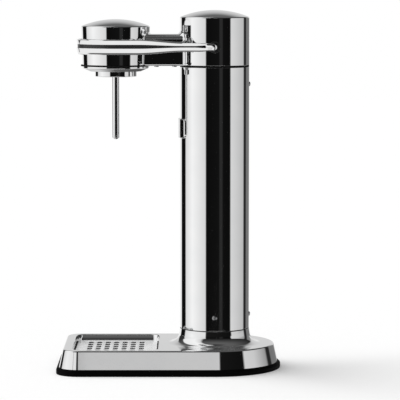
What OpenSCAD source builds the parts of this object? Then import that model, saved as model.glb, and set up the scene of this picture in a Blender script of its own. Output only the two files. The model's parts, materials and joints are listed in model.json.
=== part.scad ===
// Sparkling water maker: a bottle carbonator with a loop lever, a gas cylinder in its column
// and a lift-out drip tray. Millimetres. +Z is up, the nozzle head points to -X, and the origin
// is at the middle of the footprint, on the worktop.

/* [Overall] */
// Depth of the foot, front to back
overall_depth = 258; // [250:1:290]
// Width of the foot, and of the round rear end
overall_width = 153; // [148:1:166]
// Height of the column's dome above the worktop
overall_height = 414; // [400:1:450]

/* [Base] */
// Height of the rubber foot
foot_h = 7.5; // [6:0.5:10]
// Width of the rubber foot's ring
foot_w = 9; // [8:0.5:11]
// Bevel round the top of the foot
foot_bevel = 2.2; // [1:0.1:3]
// Height of the steel wall above the foot
base_h = 21; // [19:0.5:28]
// Step from the foot's outline in to the steel wall
base_step = 3.4; // [2.5:0.1:4.5]
// How far the steel wall leans in over its height
base_draft = 4.4; // [2:0.1:6]
// Bevel along the base's top edge
base_bevel = 0.9; // [0.5:0.1:2]
// Wall of the base
base_wall = 2.5; // [1.8:0.1:3.5]
// Radius of the foot's front corners
corner_r = 26; // [22:1:34]
// Height of the neck above the base's top
neck_h = 18.5; // [16:0.5:26]
// Radius of the neck's flare
flare_r = 14; // [8:0.5:15]
// Thickness of the closing plate
plate_t = 2.8; // [2:0.1:4]

/* [Drip tray] */
// Rim of the base in front of the tray well and beside it
well_rim = 11; // [8:0.5:16]
// Land between the well and the neck's flare
well_land = 11; // [6:0.5:18]
// Corner radius of the well
well_r = 10; // [8:0.5:20]
// Depth of the tray's top below the base's top
tray_sink = 6.2; // [4:0.1:8]
// Thickness of the tray plate
tray_t = 1.2; // [0.8:0.1:2]
// Gap round the tray plate
tray_gap = 2; // [1:0.1:2.5]
// Width of the ledge that carries the tray
ledge_w = 5; // [4:0.5:8]
// Depth of the drip pan below the ledge
pan_depth = 7; // [5:0.5:8]
// Diameter of the tray's holes
hole_d = 5.2; // [3:0.1:7]
// Pitch of the tray's holes
hole_pitch = 10; // [8:0.5:14]
// Least plain border at the tray's front and rear
hole_border_x = 14; // [8:0.5:20]
// Least plain border at the tray's sides
hole_border_y = 10; // [8:0.5:20]

/* [Column] */
// Diameter of the column
column_d = 80; // [78:0.5:84]
// Wall of the column tube
column_wall = 1.5; // [1:0.1:2]
// Dark gap between the column and the upper casing
seam_gap = 0.8; // [0.5:0.1:2]
// Head diameter of the button screws
button_d = 5.7; // [5:0.1:7]
// Head height of the button screws
button_h = 1.65; // [1.2:0.05:2.5]
// Thread diameter of the small screws
screw_d = 3; // [2.5:0.1:3.5]
// Height of the lower screws above the neck
screw_up = 15; // [10:0.5:20]
// Depth of the upper screw below the upper casing
screw_down = 21.4; // [16:0.5:26]

/* [Front plate] */
// Width of the bare plate on the column, measured straight across
badge_w = 47; // [30:1:56]
// Height of the bare plate
badge_h = 22; // [14:1:30]
// Thickness of the bare plate
badge_t = 2; // [1:0.1:3]
// Height of the plate's middle above the neck
badge_up = 231.5; // [180:0.5:250]

/* [Upper casing] */
// Height of the column's cap, from the seam to the dome's top
cap_h = 63.6; // [60:0.1:70]
// Rise of the cap's dome
cap_dome = 7.6; // [5:0.1:10]
// Distance from the column's axis to the head's axis
head_reach = 114; // [108:1:122]
// Diameter of the head
head_d = 79; // [76:0.5:82]
// Height of the head, from the seam to its dome's top
head_h = 53.1; // [50:0.1:58]
// Rise of the head's dome
head_dome = 7.5; // [5:0.1:10]
// Width of the bridge
bridge_w = 48; // [42:1:54]
// Height of the bridge
bridge_h = 36; // [32:0.5:39]
// Radius of the bridge's long top edges
bridge_r = 6; // [3:0.5:10]
// Rounding of the two rims
rim_r = 1; // [0.5:0.1:2]
// Wall of the casing
casing_wall = 2; // [1.5:0.1:2.5]

/* [Bottle head] */
// Overhang of the lip under the head
lip_over = 0.8; // [0.5:0.1:1.5]
// Height of the head's cover below the seam
cover_drop = 6.6; // [5.5:0.1:9]
// Outer diameter of the bottle collar
collar_d = 48; // [46:0.5:52]
// Bore of the bottle collar
collar_bore = 41; // [38:0.5:41.5]
// Height of the collar below the cover
collar_h = 6.1; // [4:0.1:10]
// Diameter of the nozzle
nozzle_d = 8; // [6:0.1:9]
// Bore of the nozzle
nozzle_bore = 2.4; // [1.5:0.1:3]
// Reach of the nozzle below the collar
nozzle_drop = 72.4; // [50:0.1:90]
// Diameter of the block that holds the nozzle
holder_d = 55; // [53:0.5:56]

/* [Lever] */
// Height of the lever's pivot above the seam
pivot_h = 21.8; // [20:0.1:25]
// Gap between the head's lip and the lever loop
lever_gap = 2.2; // [1.9:0.1:5]
// Thickness of the lever
lever_t = 2.5; // [2.2:0.1:4]
// Height of the lever round the head
lever_h = 17; // [14:0.5:20]
// Height of the lever's arms beside the column
arm_h = 9.8; // [9:0.1:12]
// Height of the inlay round the head
inlay_h = 4.4; // [3:0.1:6]
// Height of the inlay on the arms
inlay_arm_h = 1.2; // [0.8:0.1:2.5]
// Height of the inlay's rear end
inlay_end_h = 3.2; // [2:0.1:4]
// Radius of the eyes at the arms' ends
eye_r = 4.9; // [4.6:0.1:6]
// Diameter of the cross shaft
shaft_d = 8; // [7:0.1:8.6]
// Diameter of the shaft's ends
stub_d = 6; // [5:0.1:6.6]
// Flange diameter of the pivot bushes
bush_d = 13.6; // [13:0.1:16]
// Reach of the pressing nose in front of the shaft
nose_reach = 8; // [7.5:0.1:9]

/* [Gas valve] */
// Diameter of the valve block
block_d = 34; // [30:0.5:38]
// Thread diameter of the gas cylinder
thread_d = 21; // [18:0.1:22]
// Diameter of the plunger's stem
stem_d = 6; // [5:0.1:7]
// Outer diameter of the gas tube
tube_d = 5; // [4:0.1:6]
// Height of the gas tube above the seam
tube_up = 11.6; // [11:0.1:14]

/* [Gas cylinder] */
// Diameter of the gas cylinder
cylinder_d = 60; // [56:0.5:64]
// Wall of the gas cylinder
cylinder_wall = 2.5; // [2:0.1:4]
// Height of the cylinder's bottom above the worktop
cylinder_lift = 5; // [2:0.5:8]
// Diameter of the cylinder's neck
neck_d = 28; // [25:0.5:32]

/* [Hidden] */
$fn = 96;
eps = 0.01;
// Sliding fit on the radius, and the clearance of loose fits
fit = 0.05;
play = 0.1;
// Clearance between bodies that move past each other
run = 0.2;

half_w = overall_width / 2;
front_x = -overall_depth / 2;
column_x = overall_depth / 2 - half_w;
corner_x = front_x + corner_r;
head_x = column_x - head_reach;

base_top = foot_h + base_h;
top_step = base_step + base_draft;
roof_z = base_top - base_wall;
column_z = base_top + neck_h;
column_r = column_d / 2;
tube_r = column_r - column_wall;
flare_end = column_r + flare_r;
low_seam = 0.3;

// Screws: heads, length in the far piece, and room past the tip
screw_head_r = screw_d * 0.9;
screw_head_l = screw_d * 0.7;
screw_bite = 8;
tip_room = 0.5;

// Foot and closing plate
sole_t = 2;
sole_lap = 4;
sole_w = foot_w + sole_lap;
plate_top = sole_t + plate_t;
post_r = 4;
post_gap = 1;
post_front = 6;
post_mid = 24;
post_angle = 48;
post_in = sole_w + post_r + post_gap;
post_places = [
    [corner_x + post_front, half_w - post_in],
    [column_x - post_mid, half_w - post_in],
    [column_x + (half_w - post_in) * cos(post_angle), (half_w - post_in) * sin(post_angle)]
];
post_depth = 7;
plate_sink = plate_t * 0.55;
hole_play = 3;

// Tray well, tray and pan
well_x0 = front_x + top_step + well_rim;
well_x1 = column_x - flare_end - well_land;
well_y = half_w - top_step - well_rim;
tray_top = base_top - tray_sink;
ledge_z = tray_top - tray_t;
pan_z = ledge_z - pan_depth;
tray_x0 = well_x0 + tray_gap;
tray_l = well_x1 - well_x0 - 2 * tray_gap;
tray_w = 2 * (well_y - tray_gap);
tray_r = well_r - tray_gap;
tray_skirt = 3;
skirt_play = 0.4;
skirt_in = ledge_w - tray_gap + skirt_play;
skirt_r = well_r - ledge_w - skirt_play;
hole_cols = floor((tray_l - 2 * hole_border_x) / hole_pitch) + 1;
hole_rows = floor((tray_w - 2 * hole_border_y) / hole_pitch) + 1;

// Column socket
socket_r = tube_r - play;
socket_play = 1.5;
socket_edge = 2;
socket_bore_r = cylinder_d / 2 + socket_play;
socket_flange_r = flare_end - socket_edge;
socket_flange_t = 4;
socket_up = 25;
socket_screw_r = (socket_r + socket_flange_r) / 2;
socket_screw_depth = 3;

// Upper casing
casing_z = overall_height - cap_h;
column_top = casing_z - seam_gap;
cap_rim = overall_height - cap_dome;
head_r = head_d / 2;
head_top = casing_z + head_h;
head_rim = head_top - head_dome;
bridge_top = casing_z + bridge_h;
cap_in_r = column_r - casing_wall;
head_in_r = head_r - casing_wall;

// Valve carrier and valve
carrier_h = 32;
carrier_wall = 4;
carrier_in_r = socket_r - carrier_wall;
spigot_up = 6.5;
seam_depth = 0.8;
seam_rib_r = column_r - seam_depth;
deck_drop = 5.6;
deck_z = column_top - deck_drop;
deck_t = 5.5;
block_r = block_d / 2;
block_drop = 10;
block_rise = 12;
block_flange_w = 5.5;
block_bottom = deck_z - block_drop;
block_top = deck_z + block_rise;
block_flange_r = block_r + block_flange_w;
block_flange_t = 3;
block_screw_out = 3;
block_screw_r = block_r + block_screw_out;
thread_r = thread_d / 2;
thread_l = 11.5;
thread_top = block_bottom + thread_l;
seal_t = 1.5;
chamber_r = 4.5;
chamber_h = 5.5;
chamber_top = thread_top + chamber_h;
tower_r = 5;
tower_out = 2.5;
tower_x = column_x - block_r - tower_out;
tube_z = casing_z + tube_up;
tower_top = tube_z + tower_r;
passage_r = 1.5;
passage_up = 3;
passage_z = thread_top + passage_up;
tube_end = 4;

// Lever mechanism
pivot_z = casing_z + pivot_h;
shaft_r = shaft_d / 2;
stub_r = stub_d / 2;
nose_r = shaft_r;
plunger_top = pivot_z - shaft_r - run;
plunger_head_t = 4;
plunger_lap = 2;
plunger_lift = 0.7;
plunger_head_r = nose_reach + plunger_lap;
plunger_bottom = thread_top + plunger_lift;
spring_wire = 1.2;
spring_turns = 3.5;
spring_room = 1.6;
finger_w = 10;
hub_wall = 3.5;
hub_r = shaft_r + hub_wall;
bush_proud = 0.6;
bush_sink = 0.9;
bush_l = 5.5;
bush_wall = 1.7;
bush_face = column_r + bush_proud;
bush_seat = column_r - bush_sink;
bush_in = column_r - bush_l;
bush_r = shaft_r + bush_wall;
lip_r = head_r + lip_over;
eye_face = bush_face + run;
eye_l = 1.7;
loop_r = max(lip_r + lever_gap, eye_face + eye_l);
stub_end = loop_r - play;

// Where the lever's band starts and ends narrowing, where its inlay ends, and the band's section
narrow_lap = 14;
narrow_end = 6.5;
inlay_gap = 10.5;
inlay_flare = 12;
narrow_x0 = head_x + head_r - narrow_lap;
narrow_x1 = column_x - column_r + narrow_end;
inlay_x1 = column_x - inlay_gap;
inlay_x0 = inlay_x1 - inlay_flare;
eye_x = column_x + eye_r;
rail_bulge = 0.9;
inlay_depth = 0.7;
score_w = 0.3;
score_depth = 0.05;
band_bevel = 0.7;
arm_steps = 30;
bow_steps = 24;

// Head
cover_z = casing_z - cover_drop;
cover_t = 3.4;
cover_floor = cover_z + cover_t;
lip_gap = 0.4;
lip_top = casing_z - lip_gap;
lip_t = 1.1;
cover_edge_in = 4.3;
cover_edge_up = 2.7;
cover_edge_r = lip_r - cover_edge_in;
cover_edge_z = cover_z + cover_edge_up;
cover_rim_r = head_in_r - play;
cover_rim_up = 3.6;
collar_r = collar_d / 2;
collar_in_r = collar_bore / 2;
collar_thread = 1.5;
collar_thread_r = collar_in_r + collar_thread;
collar_z = cover_z - collar_h;
holder_r = holder_d / 2;
holder_z = cover_floor;
mouth_up = 5.8;
holder_h = 24.8;
mouth_z = holder_z + mouth_up;
holder_top = holder_z + holder_h;
tube_stop = 2;
tube_bite = tube_end + tube_stop;
tube_x0 = head_x + holder_r - tube_bite + play;
tube_x1 = tower_x - tower_r + tube_end - play;
nozzle_r = nozzle_d / 2;
nozzle_z = collar_z - nozzle_drop;
nozzle_in = 6;
nozzle_top = mouth_z + nozzle_in;
tip_l = 3.7;
tip_point = 1.8;
tip_wall = 1;
tip_spigot_r = nozzle_bore / 2 + tip_wall;
tip_spigot = 4;
ear_r = 5;
ear_t = 6;
ear_gap = 1;
ear_arm = 8;
ear_drop = 1;
ear_at = head_in_r - ear_r - ear_gap;
ear_z = holder_top - ear_t;
ear_angles = [60, 180, 300];
head_post_r = 4;
bottle_seal_t = 1.9;
bottle_seal_w = 5;
bottle_seal_in = collar_in_r - bottle_seal_w;
relief_out = 12;
relief_x = head_x - relief_out;
relief_r = 5;
relief_up = 7;
relief_seat = mouth_z + relief_up;
relief_cap_t = 2;
relief_lap = 1.5;
poppet_h = 3.8;
poppet_stem_r = 1.6;
relief_wire = 0.8;
relief_turns = 4;
relief_room = 0.6;

// Bridge cover and its posts
bridge_plate_t = 2;
bridge_post_r = 3.5;
bridge_post_gap = 2.5;
bridge_post_front = 8;
bridge_post_rear = 6;
bridge_post_y = bridge_w / 2 - casing_wall - bridge_post_r - bridge_post_gap;
bridge_post_x = [head_x + head_r + bridge_post_front, column_x - column_r - bridge_post_rear];
cover_head_h = 1.2;

// Gas cylinder
spigot_top = thread_top - seal_t - play;
spigot_l = 11.9;
hex_over = 0.5;
hex_r = neck_d / 2 + hex_over;
hex_h = 12;
neck_top = spigot_top - spigot_l - hex_h;
neck_h_cyl = 6;
plug_l = 14;
plug_wall = 5;
plug_r = neck_d / 2 - plug_wall;
shoulder_r = cylinder_d / 2 - neck_d / 2;
shoulder_z = neck_top - neck_h_cyl - shoulder_r;
heel_r = 8;
pin_r = 1.5;
pin_top = plunger_bottom - run;
pin_l = 28;
pin_room = 5;
pin_hole = pin_top - pin_l - pin_room;
recess_r = chamber_r;
recess_l = 2.6;

steel = [0.80, 0.81, 0.82];
zinc = [0.62, 0.64, 0.66];
brass = [0.80, 0.66, 0.36];
black = [0.06, 0.06, 0.065];
rubber = [0.10, 0.10, 0.10];
grey = [0.35, 0.36, 0.38];

// Outline of the foot, moved in by a step: a round rear end, straight sides, rounded front corners
module foot_plan(step) {
    translate([column_x, 0])
        circle(r = half_w - step);
    translate([corner_x, step - half_w])
        square([column_x - corner_x, 2 * (half_w - step)]);
    translate([front_x + step, corner_r - half_w])
        square([corner_r - step, 2 * (half_w - corner_r)]);
    for (side = [-1, 1])
        translate([corner_x, side * (half_w - corner_r)])
            circle(r = corner_r - step);
}

module foot_slab(step, z0, z1) {
    translate([0, 0, z0])
        linear_extrude(z1 - z0)
            foot_plan(step);
}

// The same outline with leaning walls: cones at the round ends, and prisms between them
module foot_taper(step0, step1, z0, z1) {
    r0 = half_w - step0;
    r1 = half_w - step1;
    translate([column_x, 0, z0])
        cylinder(r1 = r0, r2 = r1, h = z1 - z0);
    for (side = [-1, 1])
        translate([corner_x, side * (half_w - corner_r), z0])
            cylinder(r1 = corner_r - step0, r2 = corner_r - step1, h = z1 - z0);
    translate([corner_x, 0, 0])
        rotate([90, 0, 90])
            linear_extrude(column_x - corner_x)
                polygon([[-r0, z0], [r0, z0], [r1, z1], [-r1, z1]]);
    translate([0, half_w - corner_r, 0])
        rotate([90, 0, 0])
            linear_extrude(2 * (half_w - corner_r))
                polygon([[front_x + step0, z0], [corner_x, z0], [corner_x, z1], [front_x + step1, z1]]);
}

module round_rect(x0, x1, y, r) {
    translate([x0 + r, -y])
        square([x1 - x0 - 2 * r, 2 * y]);
    translate([x0, r - y])
        square([x1 - x0, 2 * (y - r)]);
    for (x = [x0 + r, x1 - r], side = [-1, 1])
        translate([x, side * (y - r)])
            circle(r = r);
}

module ring(r_out, r_in, z0, z1) {
    translate([0, 0, z0])
        difference() {
            cylinder(r = r_out, h = z1 - z0);
            translate([0, 0, -1])
                cylinder(r = r_in, h = z1 - z0 + 2);
        }
}

module at_column() {
    translate([column_x, 0, 0])
        children();
}

module at_head() {
    translate([head_x, 0, 0])
        children();
}

// Screw along +Z from its seat at z = 0: a low head below the seat and a shank above it
module cap_screw(head_r, head_l, shank_r, shank_l) {
    socket_r = head_r * 0.52;
    difference() {
        union() {
            translate([0, 0, -head_l])
                cylinder(r = head_r, h = head_l);
            cylinder(r = shank_r, h = shank_l);
        }
        translate([0, 0, -head_l - 1])
            cylinder(r = socket_r, h = 1 + head_l * 0.6, $fn = 6);
    }
}

// Button-head screw along +Z from its seat, with a round head below the seat
module button_screw(shank_l) {
    ball_r = (button_d * button_d / 4 + button_h * button_h) / (2 * button_h);
    difference() {
        union() {
            rotate_extrude()
                intersection() {
                    translate([0, -button_h])
                        square([button_d / 2, button_h]);
                    translate([0, ball_r - button_h])
                        circle(r = ball_r);
                }
            cylinder(r = screw_d / 2, h = shank_l);
        }
        translate([0, 0, -button_h - 1])
            cylinder(r = screw_d / 3, h = 1 + button_h * 0.6, $fn = 6);
    }
}

// Round wire wound along +Z, as one closed tube of six sides
module coil(r, wire, turns, length) {
    sides = 6;
    per_turn = 8;
    rings = round(turns * per_turn);
    rise = length - wire;
    slope = atan(rise / (2 * PI * r * turns));
    points = [
        for (i = [0:rings]) let (a = 360 * turns * i / rings, z = wire / 2 + rise * i / rings)
            for (k = [0:sides - 1]) let (b = 360 * k / sides, u = wire / 2 * cos(b), v = wire / 2 * sin(b))
                [(r + u) * cos(a) + v * sin(slope) * sin(a),
                 (r + u) * sin(a) - v * sin(slope) * cos(a),
                 z + v * cos(slope)]
    ];
    last = rings * sides;
    faces = concat(
        [for (i = [0:rings - 1], k = [0:sides - 1])
            let (a = i * sides + k, b = i * sides + (k + 1) % sides) [a, a + sides, b]],
        [for (i = [0:rings - 1], k = [0:sides - 1])
            let (a = i * sides + k, b = i * sides + (k + 1) % sides) [b, a + sides, b + sides]],
        [for (k = [1:sides - 2]) [0, k, k + 1]],
        [for (k = [1:sides - 2]) [last, last + k + 1, last + k]]
    );
    turn_gap = min([for (i = [0:rings - per_turn])
        norm(points[(i + per_turn) * sides] - points[i * sides]) - wire]);
    echo(least_gap_between_turns = turn_gap);
    polyhedron(points, faces);
}

// Straight wall, rounded rim and spherical dome, turned about the Z axis
module domed_can(r, z0, rim, top, edge) {
    chord = r - edge;
    rise = top - rim;
    dome_r = (chord * chord + rise * rise) / (2 * rise);
    rotate_extrude() {
        translate([0, z0])
            square([r, rim - edge - z0]);
        translate([0, z0])
            square([chord, rim - z0]);
        intersection() {
            translate([chord, rim - edge])
                circle(r = edge);
            translate([chord - eps, rim - edge - eps])
                square(edge * 2);
        }
        intersection() {
            translate([0, top - dome_r])
                circle(r = dome_r);
            translate([0, rim - eps])
                square([chord, rise * 2]);
        }
    }
}

// Bridge section in the YZ plane, with two rounded top edges, carried along X
module bridge_bar(width, z0, z1, r) {
    translate([head_x, 0, 0])
        rotate([90, 0, 90])
            linear_extrude(head_reach) {
                translate([-width / 2, z0])
                    square([width, z1 - z0 - r]);
                translate([r - width / 2, z0])
                    square([width - 2 * r, z1 - z0]);
                for (side = [-1, 1])
                    translate([side * (width / 2 - r), z1 - r])
                        circle(r = r);
            }
}

module foot_ring() {
    color(rubber)
        difference() {
            union() {
                foot_slab(0, 0, foot_h - foot_bevel);
                foot_taper(0, foot_bevel, foot_h - foot_bevel, foot_h);
            }
            foot_slab(foot_w, sole_t, foot_h + 1);
            foot_slab(sole_w, -1, sole_t + 1);
        }
}

module at_posts() {
    for (p = post_places, side = [-1, 1])
        translate([p[0], side * p[1], 0])
            children();
}

module bottom_plate() {
    color(black)
        difference() {
            foot_slab(foot_w + play, sole_t, plate_top);
            at_column()
                translate([0, 0, sole_t - 1])
                    cylinder(r = cylinder_d / 2 + hole_play, h = plate_t + 2);
            at_posts()
                translate([0, 0, sole_t - 1])
                    cylinder(d = screw_d + 2 * play, h = plate_t + 2);
            at_posts()
                translate([0, 0, sole_t - 1])
                    cylinder(r = screw_head_r + play, h = 1 + plate_sink);
        }
}

module bottom_screws() {
    color(zinc)
        at_posts()
            translate([0, 0, sole_t + plate_sink])
                cap_screw(screw_head_r, plate_sink - play, screw_d / 2,
                    plate_t - plate_sink + post_depth - tip_room);
}

// Outside of the base: leaning wall, bevelled edge, straight neck and flare
module base_outside() {
    foot_taper(base_step, top_step, foot_h, base_top - base_bevel);
    foot_taper(top_step, top_step + base_bevel, base_top - base_bevel, base_top);
    at_column() {
        translate([0, 0, roof_z])
            cylinder(r = column_r, h = column_z - roof_z);
        rotate_extrude()
            difference() {
                translate([0, roof_z])
                    square([flare_end, base_wall + flare_r]);
                translate([flare_end, base_top + flare_r])
                    circle(r = flare_r);
            }
    }
}

module base_hollow() {
    foot_taper(base_step + base_wall, top_step + base_wall, foot_h - eps, roof_z);
}

module well_cut() {
    translate([0, 0, ledge_z])
        linear_extrude(base_top - ledge_z + 1)
            round_rect(well_x0, well_x1, well_y, well_r);
    translate([0, 0, pan_z])
        linear_extrude(base_top - pan_z)
            round_rect(well_x0 + ledge_w, well_x1 - ledge_w, well_y - ledge_w, well_r - ledge_w);
}

module base_shell() {
    color(steel)
        difference() {
            union() {
                difference() {
                    base_outside();
                    base_hollow();
                }
                translate([0, 0, pan_z - base_wall])
                    linear_extrude(roof_z - pan_z + base_wall + eps)
                        round_rect(well_x0 - base_wall, well_x1 + base_wall, well_y + base_wall,
                            well_r + base_wall);
                at_posts()
                    translate([0, 0, plate_top])
                        cylinder(r = post_r, h = roof_z - plate_top + eps);
            }
            well_cut();
            at_column()
                translate([0, 0, foot_h])
                    cylinder(r = tube_r, h = column_z);
            at_posts()
                translate([0, 0, plate_top - 1])
                    cylinder(d = screw_d + 2 * fit, h = post_depth + 1);
            at_socket_screws()
                cylinder(d = screw_d + 2 * fit, h = socket_screw_depth);
        }
}

module at_socket_screws() {
    for (a = [60, 180, 300])
        translate([column_x + socket_screw_r * cos(a), socket_screw_r * sin(a), roof_z])
            children();
}

// Places of the button screws on the column, each along its shank into the column
module at_column_screws() {
    low = column_z + screw_up;
    high = casing_z - screw_down;
    for (place = [[-90, low], [90, low], [0, low], [0, high]])
        translate([column_x, 0, place[1]])
            rotate([0, 0, place[0]])
                translate([column_r, 0, 0])
                    rotate([0, -90, 0])
                        children();
}

module column_socket() {
    color(zinc)
        difference() {
            at_column() {
                ring(socket_flange_r, socket_bore_r, roof_z - socket_flange_t, roof_z);
                ring(socket_r, socket_bore_r, roof_z - eps, column_z + socket_up);
            }
            at_column_screws()
                translate([0, 0, -1])
                    cylinder(d = screw_d + 2 * fit, h = column_r - socket_bore_r + 2);
            at_socket_screws()
                translate([0, 0, -socket_flange_t - 1])
                    cylinder(d = screw_d + 2 * play, h = socket_flange_t + 2);
        }
}

module socket_screws() {
    color(zinc)
        at_socket_screws()
            translate([0, 0, -socket_flange_t])
                cap_screw(screw_head_r, screw_head_l, screw_d / 2,
                    socket_flange_t + socket_screw_depth - tip_room);
}

module drip_tray() {
    middle_x = tray_x0 + tray_l / 2;
    color(steel)
        difference() {
            translate([0, 0, ledge_z])
                linear_extrude(tray_t)
                    round_rect(tray_x0, tray_x0 + tray_l, tray_w / 2, tray_r);
            for (i = [0:hole_cols - 1], j = [0:hole_rows - 1])
                translate([middle_x + (i - (hole_cols - 1) / 2) * hole_pitch,
                           (j - (hole_rows - 1) / 2) * hole_pitch, ledge_z - 1])
                    cylinder(d = hole_d, h = tray_t + 2, $fn = 24);
        }
    color(steel)
        tray_rim();
}

// Turned-down edge that keeps the tray in place inside the ledge
module tray_rim() {
    x0 = tray_x0 + skirt_in;
    x1 = tray_x0 + tray_l - skirt_in;
    y = tray_w / 2 - skirt_in;
    translate([0, 0, ledge_z - tray_skirt])
        linear_extrude(tray_skirt + eps)
            difference() {
                round_rect(x0, x1, y, skirt_r);
                round_rect(x0 + tray_t, x1 - tray_t, y - tray_t, skirt_r - tray_t);
            }
}

module column_tube() {
    color(steel)
        difference() {
            at_column()
                ring(column_r, tube_r, column_z + low_seam, column_top);
            at_column_screws()
                translate([0, 0, -1])
                    cylinder(d = screw_d + 2 * play, h = column_wall + 2);
        }
}

module column_screws() {
    color(steel)
        at_column_screws()
            button_screw(column_wall + play + carrier_wall - tip_room);
}

// Bare curved plate that follows the column's front
module front_plate() {
    middle_z = column_z + badge_up;
    corner = badge_h * 0.2;
    color(grey)
        intersection() {
            at_column()
                ring(column_r + badge_t, column_r + fit, middle_z - badge_h, middle_z + badge_h);
            translate([column_x, 0, middle_z])
                rotate([90, 0, -90])
                    linear_extrude(column_r + badge_t + 1)
                        round_rect(-badge_w / 2, badge_w / 2, badge_h / 2, corner);
        }
}

module valve_carrier() {
    color(black)
        difference() {
            at_column() {
                ring(socket_r, carrier_in_r, column_top - carrier_h, column_top + eps);
                ring(seam_rib_r, carrier_in_r, column_top, casing_z);
                ring(cap_in_r - play, carrier_in_r, casing_z - eps, casing_z + spigot_up);
                ring(carrier_in_r + eps, block_r + play, deck_z - deck_t, deck_z);
            }
            at_column_screws()
                translate([0, 0, -1])
                    cylinder(d = screw_d + 2 * fit, h = column_r - carrier_in_r + 2);
            at_block_screws()
                translate([0, 0, -deck_t - 1])
                    cylinder(d = screw_d + 2 * fit, h = deck_t + 2);
        }
}

module at_block_screws() {
    for (a = [60, 180, 300])
        translate([column_x - block_screw_r * cos(a), block_screw_r * sin(a), deck_z])
            children();
}

module valve_block() {
    color(brass)
        difference() {
            union() {
                at_column() {
                    translate([0, 0, block_bottom])
                        cylinder(r = block_r, h = block_top - block_bottom);
                    translate([0, 0, deck_z])
                        cylinder(r = block_flange_r, h = block_flange_t);
                }
                translate([tower_x, 0, deck_z])
                    cylinder(r = tower_r, h = tower_top - deck_z);
            }
            at_column() {
                translate([0, 0, block_bottom - 1])
                    cylinder(r = thread_r + fit, h = thread_top - block_bottom + 1);
                translate([0, 0, thread_top - 1])
                    cylinder(r = chamber_r, h = chamber_top - thread_top + 1);
                translate([0, 0, chamber_top - 1])
                    cylinder(r = stem_d / 2 + fit, h = block_top - chamber_top + 2);
            }
            at_block_screws()
                translate([0, 0, -1])
                    cylinder(d = screw_d + 2 * play, h = block_flange_t + 2);
            translate([tower_x, 0, passage_z])
                rotate([0, 90, 0])
                    cylinder(r = passage_r, h = column_x - tower_x);
            translate([tower_x, 0, passage_z - passage_r])
                cylinder(r = passage_r, h = tube_z - passage_z + 2 * passage_r);
            translate([tower_x - tower_r - 1, 0, tube_z])
                rotate([0, 90, 0])
                    cylinder(d = tube_d + 2 * fit, h = tube_end + 1);
            translate([tower_x - tower_r - 1, 0, tube_z])
                rotate([0, 90, 0])
                    cylinder(r = passage_r, h = tower_r + 1);
        }
}

module block_screws() {
    color(zinc)
        at_block_screws()
            translate([0, 0, block_flange_t])
                rotate([180, 0, 0])
                    cap_screw(screw_head_r, screw_head_l, screw_d / 2, block_flange_t + deck_t - tip_room);
}

module valve_seal() {
    color(rubber)
        at_column()
            ring(thread_r - run, chamber_r, thread_top - seal_t, thread_top);
}

module valve_plunger() {
    color(zinc)
        at_column() {
            translate([0, 0, plunger_bottom])
                cylinder(d = stem_d, h = plunger_top - plunger_bottom);
            translate([0, 0, plunger_top - plunger_head_t])
                cylinder(r = plunger_head_r, h = plunger_head_t);
        }
}

module return_spring() {
    color(grey)
        at_column()
            translate([0, 0, block_top])
                coil(stem_d / 2 + spring_wire / 2 + spring_room, spring_wire, spring_turns,
                    plunger_top - plunger_head_t - block_top);
}

module gas_tube() {
    color(grey)
        translate([tube_x0, 0, tube_z])
            rotate([0, 90, 0])
                difference() {
                    cylinder(d = tube_d, h = tube_x1 - tube_x0);
                    translate([0, 0, -1])
                        cylinder(r = passage_r, h = tube_x1 - tube_x0 + 2);
                }
}

module tube_nuts() {
    nut_l = 6;
    nut_r = tube_d * 0.85;
    color(brass)
        for (x = [head_x + holder_r, tower_x - tower_r - nut_l])
            translate([x, 0, tube_z])
                rotate([0, 90, 0])
                    difference() {
                        cylinder(r = nut_r, h = nut_l, $fn = 6);
                        translate([0, 0, -1])
                            cylinder(d = tube_d + 2 * fit, h = nut_l + 2);
                    }
}

module casing_outside() {
    at_column()
        domed_can(column_r, casing_z, cap_rim, overall_height, rim_r);
    at_head()
        domed_can(head_r, casing_z, head_rim, head_top, rim_r);
    bridge_bar(bridge_w, casing_z, bridge_top, bridge_r);
}

module casing_inside() {
    at_column()
        domed_can(cap_in_r, casing_z - 1, cap_rim - casing_wall, overall_height - casing_wall, rim_r);
    at_head()
        domed_can(head_in_r, casing_z - 1, head_rim - casing_wall, head_top - casing_wall, rim_r);
    bridge_bar(bridge_w - 2 * casing_wall, casing_z - 1, bridge_top - casing_wall, bridge_r - casing_wall);
}

module at_ears() {
    for (a = ear_angles)
        translate([head_x + ear_at * cos(a), ear_at * sin(a), 0])
            children();
}

module at_bridge_posts() {
    for (x = bridge_post_x, side = [-1, 1])
        translate([x, side * bridge_post_y, 0])
            children();
}

// Both sides of the cap along the lever's axis, from the axis outwards
module at_pivots() {
    for (side = [-1, 1])
        translate([column_x, 0, pivot_z])
            rotate([-90 * side, 0, 0])
                children();
}

module upper_casing() {
    pilot = screw_bite + tip_room;
    color(steel)
        difference() {
            union() {
                difference() {
                    casing_outside();
                    casing_inside();
                }
                intersection() {
                    at_ears()
                        translate([0, 0, holder_top])
                            cylinder(r = head_post_r, h = head_top - holder_top);
                    at_head()
                        domed_can(head_r - casing_wall / 2, casing_z, head_rim - casing_wall / 2,
                            head_top - casing_wall / 2, rim_r);
                }
                at_bridge_posts()
                    translate([0, 0, casing_z + bridge_plate_t])
                        cylinder(r = bridge_post_r, h = bridge_h - bridge_plate_t - casing_wall / 2);
            }
            at_ears()
                translate([0, 0, ear_z])
                    cylinder(d = screw_d + 2 * fit, h = ear_t + pilot);
            at_bridge_posts()
                translate([0, 0, casing_z])
                    cylinder(d = screw_d + 2 * fit, h = bridge_plate_t + pilot);
            at_pivots() {
                cylinder(r = bush_r + fit, h = column_r + 1);
                translate([0, 0, bush_seat])
                    cylinder(r = bush_d / 2 + play, h = column_r);
            }
        }
}

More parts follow.
